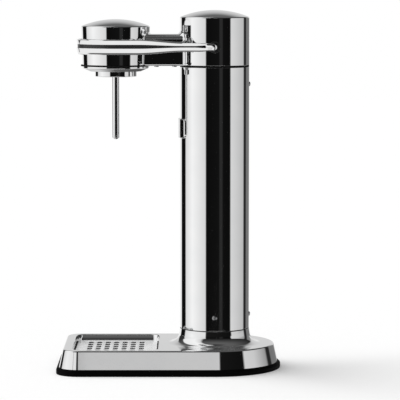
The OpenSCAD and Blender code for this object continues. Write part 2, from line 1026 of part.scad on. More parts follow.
module pivot_bushes() {
    color(black)
        at_pivots()
            difference() {
                union() {
                    translate([0, 0, bush_in])
                        cylinder(r = bush_r, h = bush_face - bush_in);
                    translate([0, 0, bush_seat])
                        cylinder(d = bush_d, h = bush_face - bush_seat);
                }
                translate([0, 0, bush_in - 1])
                    cylinder(r = shaft_r + fit, h = bush_face - bush_in + 2);
            }
}

module lever_shaft() {
    color(zinc)
        translate([column_x, 0, pivot_z])
            rotate([90, 0, 0]) {
                translate([0, 0, -bush_face])
                    cylinder(r = shaft_r, h = 2 * bush_face);
                translate([0, 0, -stub_end])
                    cylinder(r = stub_r, h = 2 * stub_end);
            }
}

// Hub over the shaft with a round nose in front of it, which presses the plunger
module press_finger() {
    hub_floor = shaft_r * 0.5;
    nose_root = shaft_r * 0.75;
    color(zinc)
        difference() {
            translate([column_x, finger_w / 2, pivot_z])
                rotate([90, 0, 0])
                    linear_extrude(finger_w)
                        difference() {
                            union() {
                                intersection() {
                                    circle(r = hub_r);
                                    translate([-hub_r, -hub_floor])
                                        square(2 * hub_r);
                                }
                                translate([-nose_reach, -nose_r])
                                    square([nose_reach - nose_root, 2 * nose_r]);
                                translate([-nose_reach, 0])
                                    circle(r = nose_r);
                            }
                            circle(r = shaft_r + fit);
                        }
            translate([column_x, 0, pivot_z + shaft_r - 1])
                cylinder(d = screw_d + 2 * fit, h = hub_r);
        }
}

module finger_screw() {
    screw_l = hub_r - shaft_r + 1;
    color(grey)
        translate([column_x, 0, pivot_z + shaft_r + fit])
            difference() {
                cylinder(d = screw_d, h = screw_l);
                translate([0, 0, screw_l * 0.6])
                    cylinder(r = screw_d * 0.3, h = screw_l, $fn = 6);
            }
}

// Smooth step from 0 at a to 1 at b
function ease(x, a, b) = let (t = min(1, max(0, (x - a) / (b - a)))) t * t * (3 - 2 * t);

// Height of the band, height of its inlay and bulge of its rails at a place along the arm
function band_h(x) =
    let (arm = lever_h + (arm_h - lever_h) * ease(x, narrow_x0, narrow_x1),
         past = max(0, x - column_x))
    past > 0 ? max(1.6, min(arm, 2 * sqrt(max(0, eye_r * eye_r - past * past)))) : arm;
function strip_h(x) =
    inlay_h + (inlay_arm_h - inlay_h) * ease(x, narrow_x0, narrow_x1)
    + (inlay_end_h - inlay_arm_h) * ease(x, inlay_x0, inlay_x1 - 2);
function bulge(x) = rail_bulge * (1 - 0.8 * ease(x, inlay_x1, column_x));

// Half of a rail's rounded outer face, from one edge height to the other
function rail(z0, z1, b) = [for (i = [0:4]) [lever_t - b + b * sin(45 * i), z0 + (z1 - z0) * i / 4]];

// Section of the band as [outward, upward] points, with a groove of height w for the inlay
function band_section(h, w, b, groove) = concat(
    [[0, band_bevel - h / 2], [band_bevel, -h / 2]],
    rail(-h / 2, -w / 2, b),
    [[lever_t - b - groove, -w / 2], [lever_t - b - groove, w / 2]],
    rail(w / 2, h / 2, b),
    [[band_bevel, h / 2], [0, h / 2 - band_bevel]]
);

// Stations of the loop as [x, y, normal x, normal y], along one arm, round the head and back
function arm_at(f) = eye_x + (head_x - eye_x) * f;
loop_path = concat(
    [for (i = [0:arm_steps - 1]) [arm_at(i / arm_steps), -loop_r, 0, -1]],
    [for (i = [0:bow_steps]) let (a = -90 - 180 * i / bow_steps)
        [head_x + loop_r * cos(a), loop_r * sin(a), cos(a), sin(a)]],
    [for (i = [1:arm_steps]) [arm_at(1 - i / arm_steps), loop_r, 0, 1]]
);

// Tube of one section after another along a path, closed by a fan at each end
module loft(path, sections) {
    n = len(sections[0]);
    m = len(path);
    points = [for (i = [0:m - 1], p = sections[i])
        [path[i][0] + p[0] * path[i][2], path[i][1] + p[0] * path[i][3], pivot_z + p[1]]];
    last = (m - 1) * n;
    faces = concat(
        [for (i = [0:m - 2], k = [0:n - 1])
            let (a = i * n + k, b = i * n + (k + 1) % n) [a, b, a + n]],
        [for (i = [0:m - 2], k = [0:n - 1])
            let (a = i * n + k, b = i * n + (k + 1) % n) [b, b + n, a + n]],
        [for (k = [1:n - 2]) [0, k + 1, k]],
        [for (k = [1:n - 2]) [last, last + k, last + k + 1]]
    );
    polyhedron(points, faces);
}

module lever_band() {
    sections = [for (p = loop_path)
        let (inlaid = p[0] < inlay_x1)
        band_section(band_h(p[0]), inlaid ? strip_h(p[0]) : score_w, bulge(p[0]),
            inlaid ? inlay_depth : score_depth)];
    color(steel)
        loft(loop_path, sections);
}

// Bosses inside the arms' ends, which hold the shaft's stubs
module lever_eyes() {
    color(steel)
        at_pivots()
            ring(eye_r - band_bevel, stub_r + fit, eye_face, loop_r);
}

// Black strip that lies in the band's groove
module lever_inlay() {
    side_play = 0.05;
    floor_n = lever_t - rail_bulge - inlay_depth + side_play;
    face_n = lever_t - rail_bulge * 0.55;
    path = [for (p = loop_path) if (p[0] < inlay_x1) p];
    sections = [for (p = path) let (h = strip_h(p[0]) / 2 - side_play)
        [[floor_n, -h], [face_n, -h], [face_n, h], [floor_n, h]]];
    color(black)
        loft(path, sections);
}

module bridge_cover() {
    color(steel)
        difference() {
            translate([head_x, -(bridge_w / 2 - casing_wall - play), casing_z])
                cube([head_reach, bridge_w - 2 * casing_wall - 2 * play, bridge_plate_t]);
            at_head()
                translate([0, 0, casing_z - 1])
                    cylinder(r = head_in_r + play, h = bridge_plate_t + 2);
            at_column()
                translate([0, 0, casing_z - 1])
                    cylinder(r = cap_in_r + play, h = bridge_plate_t + 2);
            at_bridge_posts()
                translate([0, 0, casing_z - 1])
                    cylinder(d = screw_d + 2 * play, h = bridge_plate_t + 2);
        }
}

module cover_screws() {
    color(steel)
        at_bridge_posts()
            translate([0, 0, casing_z])
                cap_screw(screw_head_r, cover_head_h, screw_d / 2, bridge_plate_t + screw_bite);
}

// Turned cover under the head: lip, bevel, shallow cone and a floor that the holder stands on
module head_cover() {
    hole_r = collar_thread_r + play;
    floor_r = holder_r + 1;
    rim_in = cover_rim_r - 2;
    color(steel)
        at_head()
            rotate_extrude()
                polygon([
                    [hole_r, cover_z], [collar_r, cover_z], [cover_edge_r, cover_edge_z],
                    [lip_r, lip_top - lip_t], [lip_r, lip_top], [cover_rim_r, lip_top],
                    [cover_rim_r, casing_z + cover_rim_up], [rim_in, casing_z + cover_rim_up],
                    [rim_in, lip_top], [floor_r, cover_floor], [hole_r, cover_floor]
                ]);
}

module bottle_collar() {
    color(steel)
        at_head() {
            ring(collar_r, collar_in_r, collar_z, cover_z);
            ring(collar_thread_r, collar_in_r, cover_z - eps, mouth_z - play);
        }
}

module bottle_seal() {
    color(rubber)
        at_head()
            ring(collar_in_r - play, bottle_seal_in, mouth_z - bottle_seal_t, mouth_z);
}

module nozzle_holder() {
    color(black)
        difference() {
            union() {
                difference() {
                    at_head()
                        translate([0, 0, holder_z])
                            cylinder(r = holder_r, h = holder_top - holder_z);
                    at_ears()
                        translate([0, 0, holder_z - 1])
                            cylinder(r = screw_head_r + play, h = ear_z - holder_z + 1);
                }
                at_ears()
                    translate([0, 0, ear_z])
                        cylinder(r = ear_r, h = ear_t);
                for (a = ear_angles)
                    translate([head_x, 0, ear_z])
                        rotate([0, 0, a])
                            translate([0, -ear_arm / 2, 0])
                                cube([ear_at, ear_arm, ear_t - ear_drop]);
            }
            at_head() {
                translate([0, 0, holder_z - 1])
                    cylinder(r = collar_thread_r + fit, h = mouth_z - holder_z + 1);
                translate([0, 0, mouth_z - 1])
                    cylinder(r = nozzle_r + fit, h = nozzle_top - mouth_z + 1 + fit);
                translate([0, 0, nozzle_top - 1])
                    cylinder(r = passage_r, h = tube_z - nozzle_top + 1 + passage_r);
                translate([0, 0, tube_z])
                    rotate([0, 90, 0])
                        cylinder(r = passage_r, h = holder_r + 1);
                translate([holder_r - tube_bite, 0, tube_z])
                    rotate([0, 90, 0])
                        cylinder(d = tube_d + 2 * fit, h = tube_bite + 1);
            }
            translate([relief_x, 0, mouth_z - 1])
                cylinder(r = passage_r, h = relief_seat - mouth_z + 2);
            translate([relief_x, 0, relief_seat])
                cylinder(r = relief_r, h = holder_top - relief_seat + 1);
            at_ears()
                translate([0, 0, ear_z - 1])
                    cylinder(d = screw_d + 2 * play, h = ear_t + 2);
        }
}

module holder_screws() {
    color(zinc)
        at_ears()
            translate([0, 0, ear_z])
                cap_screw(screw_head_r, screw_head_l, screw_d / 2, ear_t + screw_bite);
}

module nozzle_tube() {
    color(steel)
        at_head()
            difference() {
                translate([0, 0, nozzle_z + tip_l])
                    cylinder(r = nozzle_r, h = nozzle_top - nozzle_z - tip_l);
                translate([0, 0, nozzle_z])
                    cylinder(d = nozzle_bore, h = nozzle_top);
                translate([0, 0, nozzle_z])
                    cylinder(r = tip_spigot_r + fit, h = tip_l + tip_spigot + fit);
            }
}

module nozzle_tip() {
    jet_r = 0.5;
    point_r = 1.2;
    color(steel)
        at_head()
            difference() {
                union() {
                    translate([0, 0, nozzle_z])
                        cylinder(r1 = point_r, r2 = nozzle_r, h = tip_point);
                    translate([0, 0, nozzle_z + tip_point])
                        cylinder(r = nozzle_r, h = tip_l - tip_point);
                    translate([0, 0, nozzle_z + tip_point])
                        cylinder(r = tip_spigot_r, h = tip_l - tip_point + tip_spigot);
                }
                translate([0, 0, nozzle_z - 1])
                    cylinder(r = jet_r, h = tip_l + tip_spigot + 2);
                translate([0, 0, nozzle_z + tip_l])
                    cylinder(d = nozzle_bore, h = tip_spigot + 1);
            }
}

module relief_poppet() {
    stem_top = holder_top + relief_cap_t;
    color(brass)
        translate([relief_x, 0, relief_seat + run]) {
            cylinder(r = relief_r - fit, h = poppet_h);
            cylinder(r = poppet_stem_r, h = stem_top - relief_seat - run);
        }
}

module relief_spring() {
    z0 = relief_seat + run + poppet_h;
    color(grey)
        translate([relief_x, 0, z0])
            coil(relief_r - relief_wire / 2 - relief_room, relief_wire, relief_turns, holder_top - z0);
}

module relief_cap() {
    color(brass)
        translate([relief_x, 0, 0])
            ring(relief_r + relief_lap, poppet_stem_r + fit, holder_top, holder_top + relief_cap_t);
}

// Half section of the cylinder's body at a step inside its outside: heel, wall and shoulder
module cylinder_section(step) {
    r = cylinder_d / 2 - step;
    heel = heel_r - step;
    shoulder = shoulder_r - step;
    bottom = cylinder_lift + step;
    translate([0, bottom])
        square([r - heel, shoulder_z - bottom]);
    translate([0, bottom + heel])
        square([r, shoulder_z - bottom - heel]);
    intersection() {
        translate([r - heel, bottom + heel])
            circle(r = heel);
        translate([r - heel - eps, bottom])
            square(heel + eps);
    }
    intersection() {
        translate([neck_d / 2, shoulder_z])
            circle(r = shoulder);
        translate([neck_d / 2 - eps, shoulder_z - eps])
            square(shoulder + 2 * eps);
    }
    translate([0, shoulder_z - eps])
        square([neck_d / 2, shoulder + eps]);
}

module gas_cylinder() {
    color(grey)
        at_column()
            rotate_extrude()
                difference() {
                    union() {
                        cylinder_section(0);
                        translate([0, shoulder_z])
                            square([neck_d / 2, neck_top - shoulder_z]);
                    }
                    cylinder_section(cylinder_wall);
                    translate([-1, shoulder_z])
                        square([plug_r + fit + 1, neck_top - shoulder_z + 1]);
                }
}

module cylinder_valve() {
    color(brass)
        at_column()
            difference() {
                union() {
                    translate([0, 0, neck_top - plug_l])
                        cylinder(r = plug_r, h = plug_l + 1);
                    translate([0, 0, neck_top])
                        cylinder(r = hex_r, h = hex_h, $fn = 6);
                    translate([0, 0, neck_top + hex_h - 1])
                        cylinder(r = thread_r, h = spigot_l + 1);
                }
                translate([0, 0, spigot_top - recess_l])
                    cylinder(r = recess_r, h = recess_l + 1);
                translate([0, 0, pin_hole])
                    cylinder(r = pin_r + fit, h = spigot_top - pin_hole);
            }
}

module cylinder_pin() {
    color(zinc)
        at_column()
            translate([0, 0, pin_top - pin_l])
                cylinder(r = pin_r, h = pin_l);
}

foot_ring();
bottom_plate();
bottom_screws();
base_shell();
column_socket();
socket_screws();
drip_tray();
column_tube();
column_screws();
front_plate();
valve_carrier();
valve_block();
block_screws();
valve_seal();
valve_plunger();
return_spring();
gas_tube();
tube_nuts();
upper_casing();
pivot_bushes();
lever_shaft();
press_finger();
finger_screw();
lever_band();
lever_inlay();
lever_eyes();
bridge_cover();
cover_screws();
head_cover();
bottle_collar();
bottle_seal();
nozzle_holder();
holder_screws();
nozzle_tube();
nozzle_tip();
relief_poppet();
relief_spring();
relief_cap();
gas_cylinder();
cylinder_valve();
cylinder_pin();
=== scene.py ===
import json
import math
import bmesh
import bpy
import numpy as np
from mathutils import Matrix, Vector
from mathutils.geometry import delaunay_2d_cdt


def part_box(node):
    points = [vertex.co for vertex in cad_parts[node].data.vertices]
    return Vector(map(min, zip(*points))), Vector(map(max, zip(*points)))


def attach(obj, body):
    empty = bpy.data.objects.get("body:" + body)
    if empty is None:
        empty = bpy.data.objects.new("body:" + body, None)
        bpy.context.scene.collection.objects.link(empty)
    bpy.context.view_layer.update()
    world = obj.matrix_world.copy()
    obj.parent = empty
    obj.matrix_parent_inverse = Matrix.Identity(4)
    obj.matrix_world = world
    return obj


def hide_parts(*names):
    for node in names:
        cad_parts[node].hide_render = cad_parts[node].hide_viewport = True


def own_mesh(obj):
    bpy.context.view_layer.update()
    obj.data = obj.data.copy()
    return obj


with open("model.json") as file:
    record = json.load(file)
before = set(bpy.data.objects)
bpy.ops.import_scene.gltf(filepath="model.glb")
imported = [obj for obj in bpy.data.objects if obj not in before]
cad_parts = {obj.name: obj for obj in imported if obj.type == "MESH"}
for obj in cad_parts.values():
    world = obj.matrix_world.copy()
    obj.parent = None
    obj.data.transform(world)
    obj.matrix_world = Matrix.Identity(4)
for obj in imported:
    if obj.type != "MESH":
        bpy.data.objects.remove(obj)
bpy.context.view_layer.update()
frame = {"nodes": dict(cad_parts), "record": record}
mm = 0.001  # every length below is in millimetres, meshes are written in metres
wideSteps = 256  # points round the column, the head and what sits on them
smallSteps = 64  # points round small turned pieces
nearNil = 1e-9  # under this a direction counts as none


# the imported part's own sizes

def boxMm(node):
    lo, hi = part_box(node)
    return np.array(lo) / mm, np.array(hi) / mm


def middle(node):
    lo, hi = boxMm(node)
    return (lo + hi) / 2


def halfSize(node):
    lo, hi = boxMm(node)
    return (hi - lo) / 2


columnX = middle("column_tube")[0]
columnR = halfSize("column_tube")[0]
headX = middle("head_cover")[0]
lipR = halfSize("head_cover")[0]
pivotZ = middle("pivot_bushes")[2]
seamZ = boxMm("upper_casing")[0][2]
footLo, footHi = boxMm("foot_ring")
print("frame loaded:", len(frame["nodes"]), "nodes")


# shapes worked out on grids

def unit(v):
    return v / np.linalg.norm(v)


def smoothStep(x, a, b):
    # 0 before a, 1 after b, 3t^2 - 2t^3 between
    t = np.clip((x - a) / (b - a), 0, 1)
    return t * t * (3 - 2 * t)


def mixed(a, b, t):
    return a + (b - a) * t


def strip(points, loopRows=False, loopCols=True):
    # a grid's points, and a face between each four neighbours
    rows, cols = points.shape[:2]
    r = np.arange(rows if loopRows else rows - 1)[:, None]
    c = np.arange(cols if loopCols else cols - 1)[None, :]
    r1 = (r + 1) % rows
    c1 = (c + 1) % cols
    quads = [r * cols + c, r * cols + c1, r1 * cols + c1, r1 * cols + c]
    return points.reshape(-1, 3), np.stack(quads, -1).reshape(-1, 4).tolist()


def roundedLine(corners, steps=8, hold=0.05):
    # straight runs between corners (x, y, radius), each rounded corner an arc between its tangent points,
    # with a point just past each end of the arc so that the flats stay flat
    spots = np.array([c[:2] for c in corners], float)
    line = []
    for k, corner in enumerate(corners):
        radius = corner[2] if len(corner) > 2 else 0
        if k in (0, len(corners) - 1) or radius <= 0:
            line.append(spots[k])
            continue
        back = unit(spots[k - 1] - spots[k])
        ahead = unit(spots[k + 1] - spots[k])
        half = math.acos(np.clip(back @ ahead, -1, 1)) / 2
        centre = spots[k] + unit(back + ahead) * radius / math.sin(half)
        start = spots[k] + back * radius / math.tan(half)
        end = spots[k] + ahead * radius / math.tan(half)
        turn = math.pi - 2 * half
        t = np.linspace(0, 1, steps + 1)[:, None]
        arc = np.sin((1 - t) * turn) * (start - centre) + np.sin(t * turn) * (end - centre)
        line.append(start + back * hold)
        line.extend(centre + arc / math.sin(turn))
        line.append(end + ahead * hold)
    return np.array(line)


def around(steps):
    return np.linspace(0, 2 * math.pi, steps, endpoint=False)


def roundPoints(x, r, z, a):
    # points at radius r, height z and angle a about a vertical axis at x
    return np.stack(np.broadcast_arrays(x + r * np.cos(a), r * np.sin(a), z), -1)


def turned(profile, x, steps=wideSteps, closed=False):
    # (radius, z) profile carried round a vertical axis at x
    r, z = profile.T[:, :, None]
    return strip(roundPoints(x, r, z, around(steps)), closed)


def placed(part, turn, spot):
    # the part's own axes become the columns of turn, and its origin goes to spot
    return part[0] @ np.array(turn, float).T + np.array(spot, float), part[1]


runShares = np.array([0.004, 0.25, 0.5, 0.75, 0.996])[:, None]  # stations along a straight run


def roundStations(arcs, steps):
    # stations (centre x, centre y, radius, angle) round an outline of arcs (x, y, radius, from, to) joined by
    # straight runs: along a run the centre and radius slide from one arc to the next at a fixed angle
    rows = []
    for k, (x, y, r, a0, a1) in enumerate(arcs):
        a = np.radians(np.linspace(a0, a1, max(2, int(steps * abs(a1 - a0) / 90))))
        rows.append(np.stack([np.full_like(a, x), np.full_like(a, y), np.full_like(a, r), a], -1))
        ahead = arcs[(k + 1) % len(arcs)]
        run = (1 - runShares) * np.array([[x, y, r]]) + runShares * np.array([ahead[:3]])
        rows.append(np.hstack([run, np.full((len(runShares), 1), math.radians(a1))]))
    return np.vstack(rows)


def rectStations(lo, hi, r, steps=20):
    # rectangle between two corners (x, y), with round corners
    return roundStations([(hi[0] - r, hi[1] - r, r, 0, 90), (lo[0] + r, hi[1] - r, r, 90, 180),
        (lo[0] + r, lo[1] + r, r, 180, 270), (hi[0] - r, lo[1] + r, r, 270, 360)], steps)


def inset(stations, step):
    # plan points of the outline moved in by a step, or out by the share of it in a fifth column
    x, y, r, a = stations[:, :4].T
    if step < 0 and stations.shape[1] > 4:
        step = step * stations[:, 4]
    return np.stack([x + (r - step) * np.cos(a), y + (r - step) * np.sin(a)], -1)


def swept(stations, profile, loopRows=False):
    # (step in, z) profile carried round the outline
    rings = [np.column_stack([inset(stations, s), np.full(len(stations), z)]) for s, z in profile]
    return strip(np.array(rings), loopRows)


def inLoop(spots, loop):
    # a spot is inside when a ray from it crosses the loop an odd number of times
    x, y = spots[:, 0][:, None], spots[:, 1][:, None]
    ax, ay = loop.T
    bx, by = np.roll(loop, -1, 0).T
    rise = np.where(by == ay, 1, by - ay)
    crossed = ((ay > y) != (by > y)) & (x < ax + (y - ay) * (bx - ax) / rise)
    return crossed.sum(1) % 2 == 1


def flatPlate(loops, z, inside=1, weld=1e-7):
    # level plate inside the first loop, without what lies in the other loops
    spots = np.vstack(loops)
    starts = np.cumsum([0] + [len(loop) for loop in loops])
    edges = [(a + k, a + (k + 1) % (b - a)) for a, b in zip(starts, starts[1:]) for k in range(b - a)]
    made = delaunay_2d_cdt([Vector(p) for p in spots.tolist()], edges, [], inside, weld)
    flat = np.array([tuple(p) for p in made[0]])
    faces = np.array([tuple(f) for f in made[2]])
    centres = flat[faces].mean(1)
    keep = inLoop(centres, loops[0])
    for loop in loops[1:]:
        keep &= ~inLoop(centres, loop)
    return np.column_stack([flat, np.full(len(flat), z)]), faces[keep].tolist()


def circle(x, r):
    return roundPoints(x, r, 0, around(wideSteps))[:, :2]


def addObject(name, data):
    made = bpy.data.objects.new(name, data)
    bpy.context.scene.collection.objects.link(made)
    return made


# finishes, each one Principled shader with its detail on Object coordinates

def feed(node, feeds):
    # gives inputs, by name or number, a value or the socket that drives them
    for at, value in feeds.items():
        if isinstance(value, bpy.types.NodeSocket):
            node.id_data.links.new(value, node.inputs[at])
        else:
            node.inputs[at].default_value = value


def addNode(tree, kind, feeds=None, **values):
    node = tree.nodes.new("ShaderNode" + kind)
    for key, value in values.items():
        setattr(node, key, value)
    feed(node, feeds or {})
    return node


colourMix = dict(factor=0, first=6, second=7, result=2)  # the mix node's sockets for colours


def blended(factor, first, second):
    # first where the factor is 0, second where it is 1
    feeds = {colourMix["factor"]: factor, colourMix["first"]: first, colourMix["second"]: second}
    return addNode(factor.id_data, "Mix", feeds, data_type="RGBA").outputs[colourMix["result"]]


noise = dict(detail=4.0, low=0.3, high=0.7)  # low and high are where most of it lies


def noiseBand(tree, scale, stretch, low=0, high=1):
    # noise on Object coordinates, stretched along the axes, mapped to the span low..high
    spot = addNode(tree, "TexCoord").outputs["Object"]
    spot = addNode(tree, "Mapping", {"Vector": spot, "Scale": stretch}).outputs["Vector"]
    feeds = {"Vector": spot, "Scale": scale, "Detail": noise["detail"]}
    feeds = {"Value": addNode(tree, "TexNoise", feeds).outputs["Fac"],
        "From Min": noise["low"], "From Max": noise["high"], "To Min": low, "To Max": high}
    return addNode(tree, "MapRange", feeds).outputs["Result"]


def makeFinish(name, dark, light, toneScale, rough, roughScale, metallic=1, specular=0.5, stretch=(1, 1, 1),
               bump=0, bumpScale=0, bumpDepth=0.0001):
    # colour between two near tones and roughness between two values, both by noise, with a fine bump on some
    material = bpy.data.materials.new(name)
    material.use_nodes = True
    tree = material.node_tree
    shader = tree.nodes["Principled BSDF"]
    feed(shader, {"Metallic": metallic, "Specular IOR Level": specular,
        "Base Color": blended(noiseBand(tree, toneScale, stretch), (*dark, 1), (*light, 1)),
        "Roughness": noiseBand(tree, roughScale, stretch, *rough)})
    if bump:
        feeds = {"Strength": bump, "Distance": bumpDepth, "Height": noiseBand(tree, bumpScale, stretch)}
        feed(shader, {"Normal": addNode(tree, "Bump", feeds).outputs["Normal"]})
    return material


looks = {
    "polished_steel": dict(dark=(0.91, 0.915, 0.92), light=(0.95, 0.95, 0.95), toneScale=35,
        rough=(0.02, 0.045), roughScale=120),
    "tray_steel": dict(metallic=0.3, dark=(0.93, 0.935, 0.94), light=(0.98, 0.98, 0.98), toneScale=220,
        stretch=(0.08, 1, 1), rough=(0.22, 0.32), roughScale=260, bump=0.12, bumpScale=900,
        bumpDepth=0.00004),
    "plate_steel": dict(dark=(0.8, 0.805, 0.81), light=(0.88, 0.88, 0.88), toneScale=90, rough=(0.06, 0.12),
        roughScale=300),
    "lever_steel": dict(dark=(0.92, 0.925, 0.93), light=(0.96, 0.96, 0.96), toneScale=60,
        rough=(0.05, 0.08), roughScale=240),
    "nozzle_steel": dict(dark=(0.84, 0.845, 0.85), light=(0.9, 0.9, 0.9), toneScale=90, rough=(0.05, 0.08),
        roughScale=300),
    "foot_rubber": dict(metallic=0, dark=(0.001, 0.001, 0.001), light=(0.002, 0.002, 0.002), toneScale=400,
        rough=(0.6, 0.75), roughScale=700, bump=0.3, bumpScale=1600, specular=0.06),
    "seal_rubber": dict(metallic=0, dark=(0.004, 0.004, 0.004), light=(0.008, 0.008, 0.008), toneScale=400,
        rough=(0.5, 0.65), roughScale=600, bump=0.2, bumpScale=1500, specular=0.12),
    "black_plastic": dict(metallic=0, dark=(0.006, 0.006, 0.0065), light=(0.01, 0.01, 0.011), toneScale=180,
        rough=(0.32, 0.45), roughScale=500, bump=0.15, bumpScale=1800),
    "inlay_black": dict(metallic=0, dark=(0.018, 0.018, 0.019), light=(0.024, 0.024, 0.025), toneScale=150,
        rough=(0.3, 0.42), roughScale=420, bump=0.1, bumpScale=1500),
    "cast_metal": dict(dark=(0.42, 0.425, 0.43), light=(0.55, 0.555, 0.56), toneScale=120,
        rough=(0.42, 0.6), roughScale=300, bump=0.35, bumpScale=700),
    "bright_screw": dict(dark=(0.68, 0.69, 0.7), light=(0.82, 0.82, 0.82), toneScale=200, rough=(0.1, 0.2),
        roughScale=500),
    "dark_screw": dict(dark=(0.26, 0.26, 0.265), light=(0.34, 0.34, 0.345), toneScale=200,
        rough=(0.03, 0.06), roughScale=500),
    "spring_steel": dict(dark=(0.5, 0.5, 0.51), light=(0.62, 0.62, 0.63), toneScale=260, rough=(0.18, 0.3),
        roughScale=600),
    "valve_brass": dict(dark=(0.66, 0.47, 0.2), light=(0.8, 0.6, 0.3), toneScale=110, rough=(0.16, 0.3),
        roughScale=350),
    "cylinder_alloy": dict(dark=(0.62, 0.63, 0.64), light=(0.74, 0.745, 0.75), toneScale=160,
        stretch=(1, 1, 0.1), rough=(0.26, 0.38), roughScale=420, bump=0.1, bumpScale=900),
}
finishes = {name: makeFinish(name, **look) for name, look in looks.items()}
slotOf = {entry["node"]: entry["material_slot"] for entry in frame["record"]["subparts"]}
for node, slotName in slotOf.items():
    frame["nodes"][node].data.materials.clear()
    frame["nodes"][node].data.materials.append(finishes[slotName])
print("finishes made:", len(finishes))


weldDist = 2e-6  # metres, within which points of a piece's parts are merged
thinDist = 1e-7  # metres, under which an edge is dissolved


def makePiece(name, parts, finish, nodes, body="stand", sharp=38, fill=False):
    # the parts' points and faces as one merged mesh, sharp where faces meet at more than an angle
    points = np.vstack([p for p, f in parts]) * mm
    faces = []
    start = 0
    for p, f in parts:
        faces += [tuple(start + i for i in face) for face in f]
        start += len(p)
    mesh = bpy.data.meshes.new(name)
    mesh.from_pydata(points.tolist(), [], faces)
    bm = bmesh.new()
    bm.from_mesh(mesh)
    bmesh.ops.remove_doubles(bm, verts=bm.verts, dist=weldDist)
    bmesh.ops.dissolve_degenerate(bm, edges=bm.edges, dist=thinDist)
    if fill:
        bmesh.ops.holes_fill(bm, edges=[e for e in bm.edges if e.is_boundary], sides=0)
    bmesh.ops.recalc_face_normals(bm, faces=bm.faces)
    openEdges = sum(1 for e in bm.edges if not e.is_manifold)
    bm.to_mesh(mesh)
    bm.free()
    mesh.shade_smooth()
    mesh.set_sharp_from_angle(angle=math.radians(sharp))
    mesh.materials.append(finishes[finish])
    piece = addObject(name, mesh)
    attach(piece, body)
    if nodes:
        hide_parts(*nodes)
    print("piece", name, len(mesh.polygons), "faces", openEdges, "open edges")
    return piece


# rubber foot round the base
foot = dict(cornerR=26, wall=9, soleW=13, soleT=2, soleR=0.9, bevel=2.2, bevelR=1.6, topR=0.5)
halfW = footHi[1]
footTop = footHi[2]
cornerX = footLo[0] + foot["cornerR"]
cornerY = halfW - foot["cornerR"]
footLine = roundStations([
    (columnX, 0, halfW, -90, 90),
    (cornerX, cornerY, foot["cornerR"], 90, 180),
    (cornerX, -cornerY, foot["cornerR"], 180, 270),
], steps=64)
footProfile = roundedLine([
    (foot["soleW"], foot["soleT"] / 2), (foot["soleW"], 0), (0, 0, foot["soleR"]),
    (0, footTop - foot["bevel"], foot["bevelR"]), (foot["bevel"], footTop, foot["topR"]),
    (foot["wall"], footTop), (foot["wall"], foot["soleT"]), (foot["soleW"], foot["soleT"]),
])
makePiece("rubber_foot", [swept(footLine, footProfile, True)], "foot_rubber", ["foot_ring"])


# steel base: leaning wall, round top edge, tray well with its pan, flare and neck
base = dict(step=3.4, topStep=8.0, topLand=2, height=21, edgeR=1.9, wall=1.5,
    wellRimR=2.4, rimShare=0.75, wellLean=4.4, wellKnee=(1.6, 3.7, 8), sideShare=0.25, wellR=9.2,
    wellGap=1.2, trayT=1.2, ledge=4.2, ledgeR=0.6, ledgeEdgeR=0.5, panDepth=7, panR=1.5, panLand=3,
    flareR=13.2, flareFrom=13.2, flareRows=33, flareEase=(0.02, 0.002), flareLand=0.1,
    neckLean=9, neckDrop=1.2, neckEdgeR=0.25, neckHold=0.03)
baseTop = footTop + base["height"]
trayLo, trayHi = boxMm("drip_tray")
ledgeZ = trayHi[2] - base["trayT"]
panZ = ledgeZ - base["panDepth"]
boreR = columnR - base["wall"]
# the well's wall leans most towards the camera and its opposite, and stands steeper at the ends
wellLine = rectStations(trayLo[:2] - base["wellGap"], trayHi[:2] + base["wellGap"], base["wellR"])
wellShare = mixed(base["sideShare"], 1, np.sin(wellLine[:, 3]) ** 2)
wellLine = np.column_stack([wellLine, wellShare])
neckTop = boxMm("base_shell")[1][2] - base["neckDrop"]
flareTilt = math.radians(base["flareFrom"])
flareTop = baseTop + base["flareR"] * (1 - math.sin(flareTilt))
neckFoot = columnR + (neckTop - flareTop) * math.tan(math.radians(base["neckLean"]))
flareEnd = neckFoot + base["flareR"] * math.cos(flareTilt)
flareRim = flareEnd + base["flareLand"]
wallProfile = roundedLine([(base["step"], footTop), (base["topStep"], baseTop, base["edgeR"]),
    (base["topStep"] + base["topLand"], baseTop)], steps=10)
wellOut = base["wellLean"] + base["rimShare"] * base["wellRimR"]
wellProfile = roundedLine([
    (-wellOut, baseTop), (-base["wellLean"], baseTop, base["wellRimR"]),
    (-base["wellKnee"][0], ledgeZ + base["wellKnee"][1], base["wellKnee"][2]),
    (0, ledgeZ, base["ledgeR"]), (base["ledge"], ledgeZ, base["ledgeEdgeR"]),
    (base["ledge"], panZ, base["panR"]), (base["ledge"] + base["panLand"], panZ),
], steps=12)
# flare: an arc whose tilt falls from level to a few degrees, where it meets the leaning neck
flareTurn = np.hstack([np.linspace(math.pi / 2, flareTilt + base["flareEase"][0], base["flareRows"]),
    flareTilt + base["flareEase"][1], flareTilt])
flareArc = np.stack([flareEnd - base["flareR"] * np.cos(flareTurn),
    baseTop + base["flareR"] * (1 - np.sin(flareTurn))], -1)
neckLine = roundedLine([(neckFoot, flareTop + base["neckHold"]), (columnR, neckTop, base["neckEdgeR"]),
    (boreR, neckTop), (boreR, footTop)], steps=6)
neckProfile = np.vstack([[(flareRim, baseTop)], flareArc, neckLine])
makePiece("steel_base", [
    swept(footLine, wallProfile),
    swept(wellLine, wellProfile),
    turned(neckProfile, columnX),
    flatPlate([inset(footLine, wallProfile[-1][0]), inset(wellLine, wellProfile[0][0]),
        circle(columnX, flareRim)], baseTop),
    flatPlate([inset(wellLine, wellProfile[-1][0])], panZ),
    flatPlate([inset(footLine, base["step"]), circle(columnX, boreR)], footTop),
], "polished_steel", ["base_shell"])
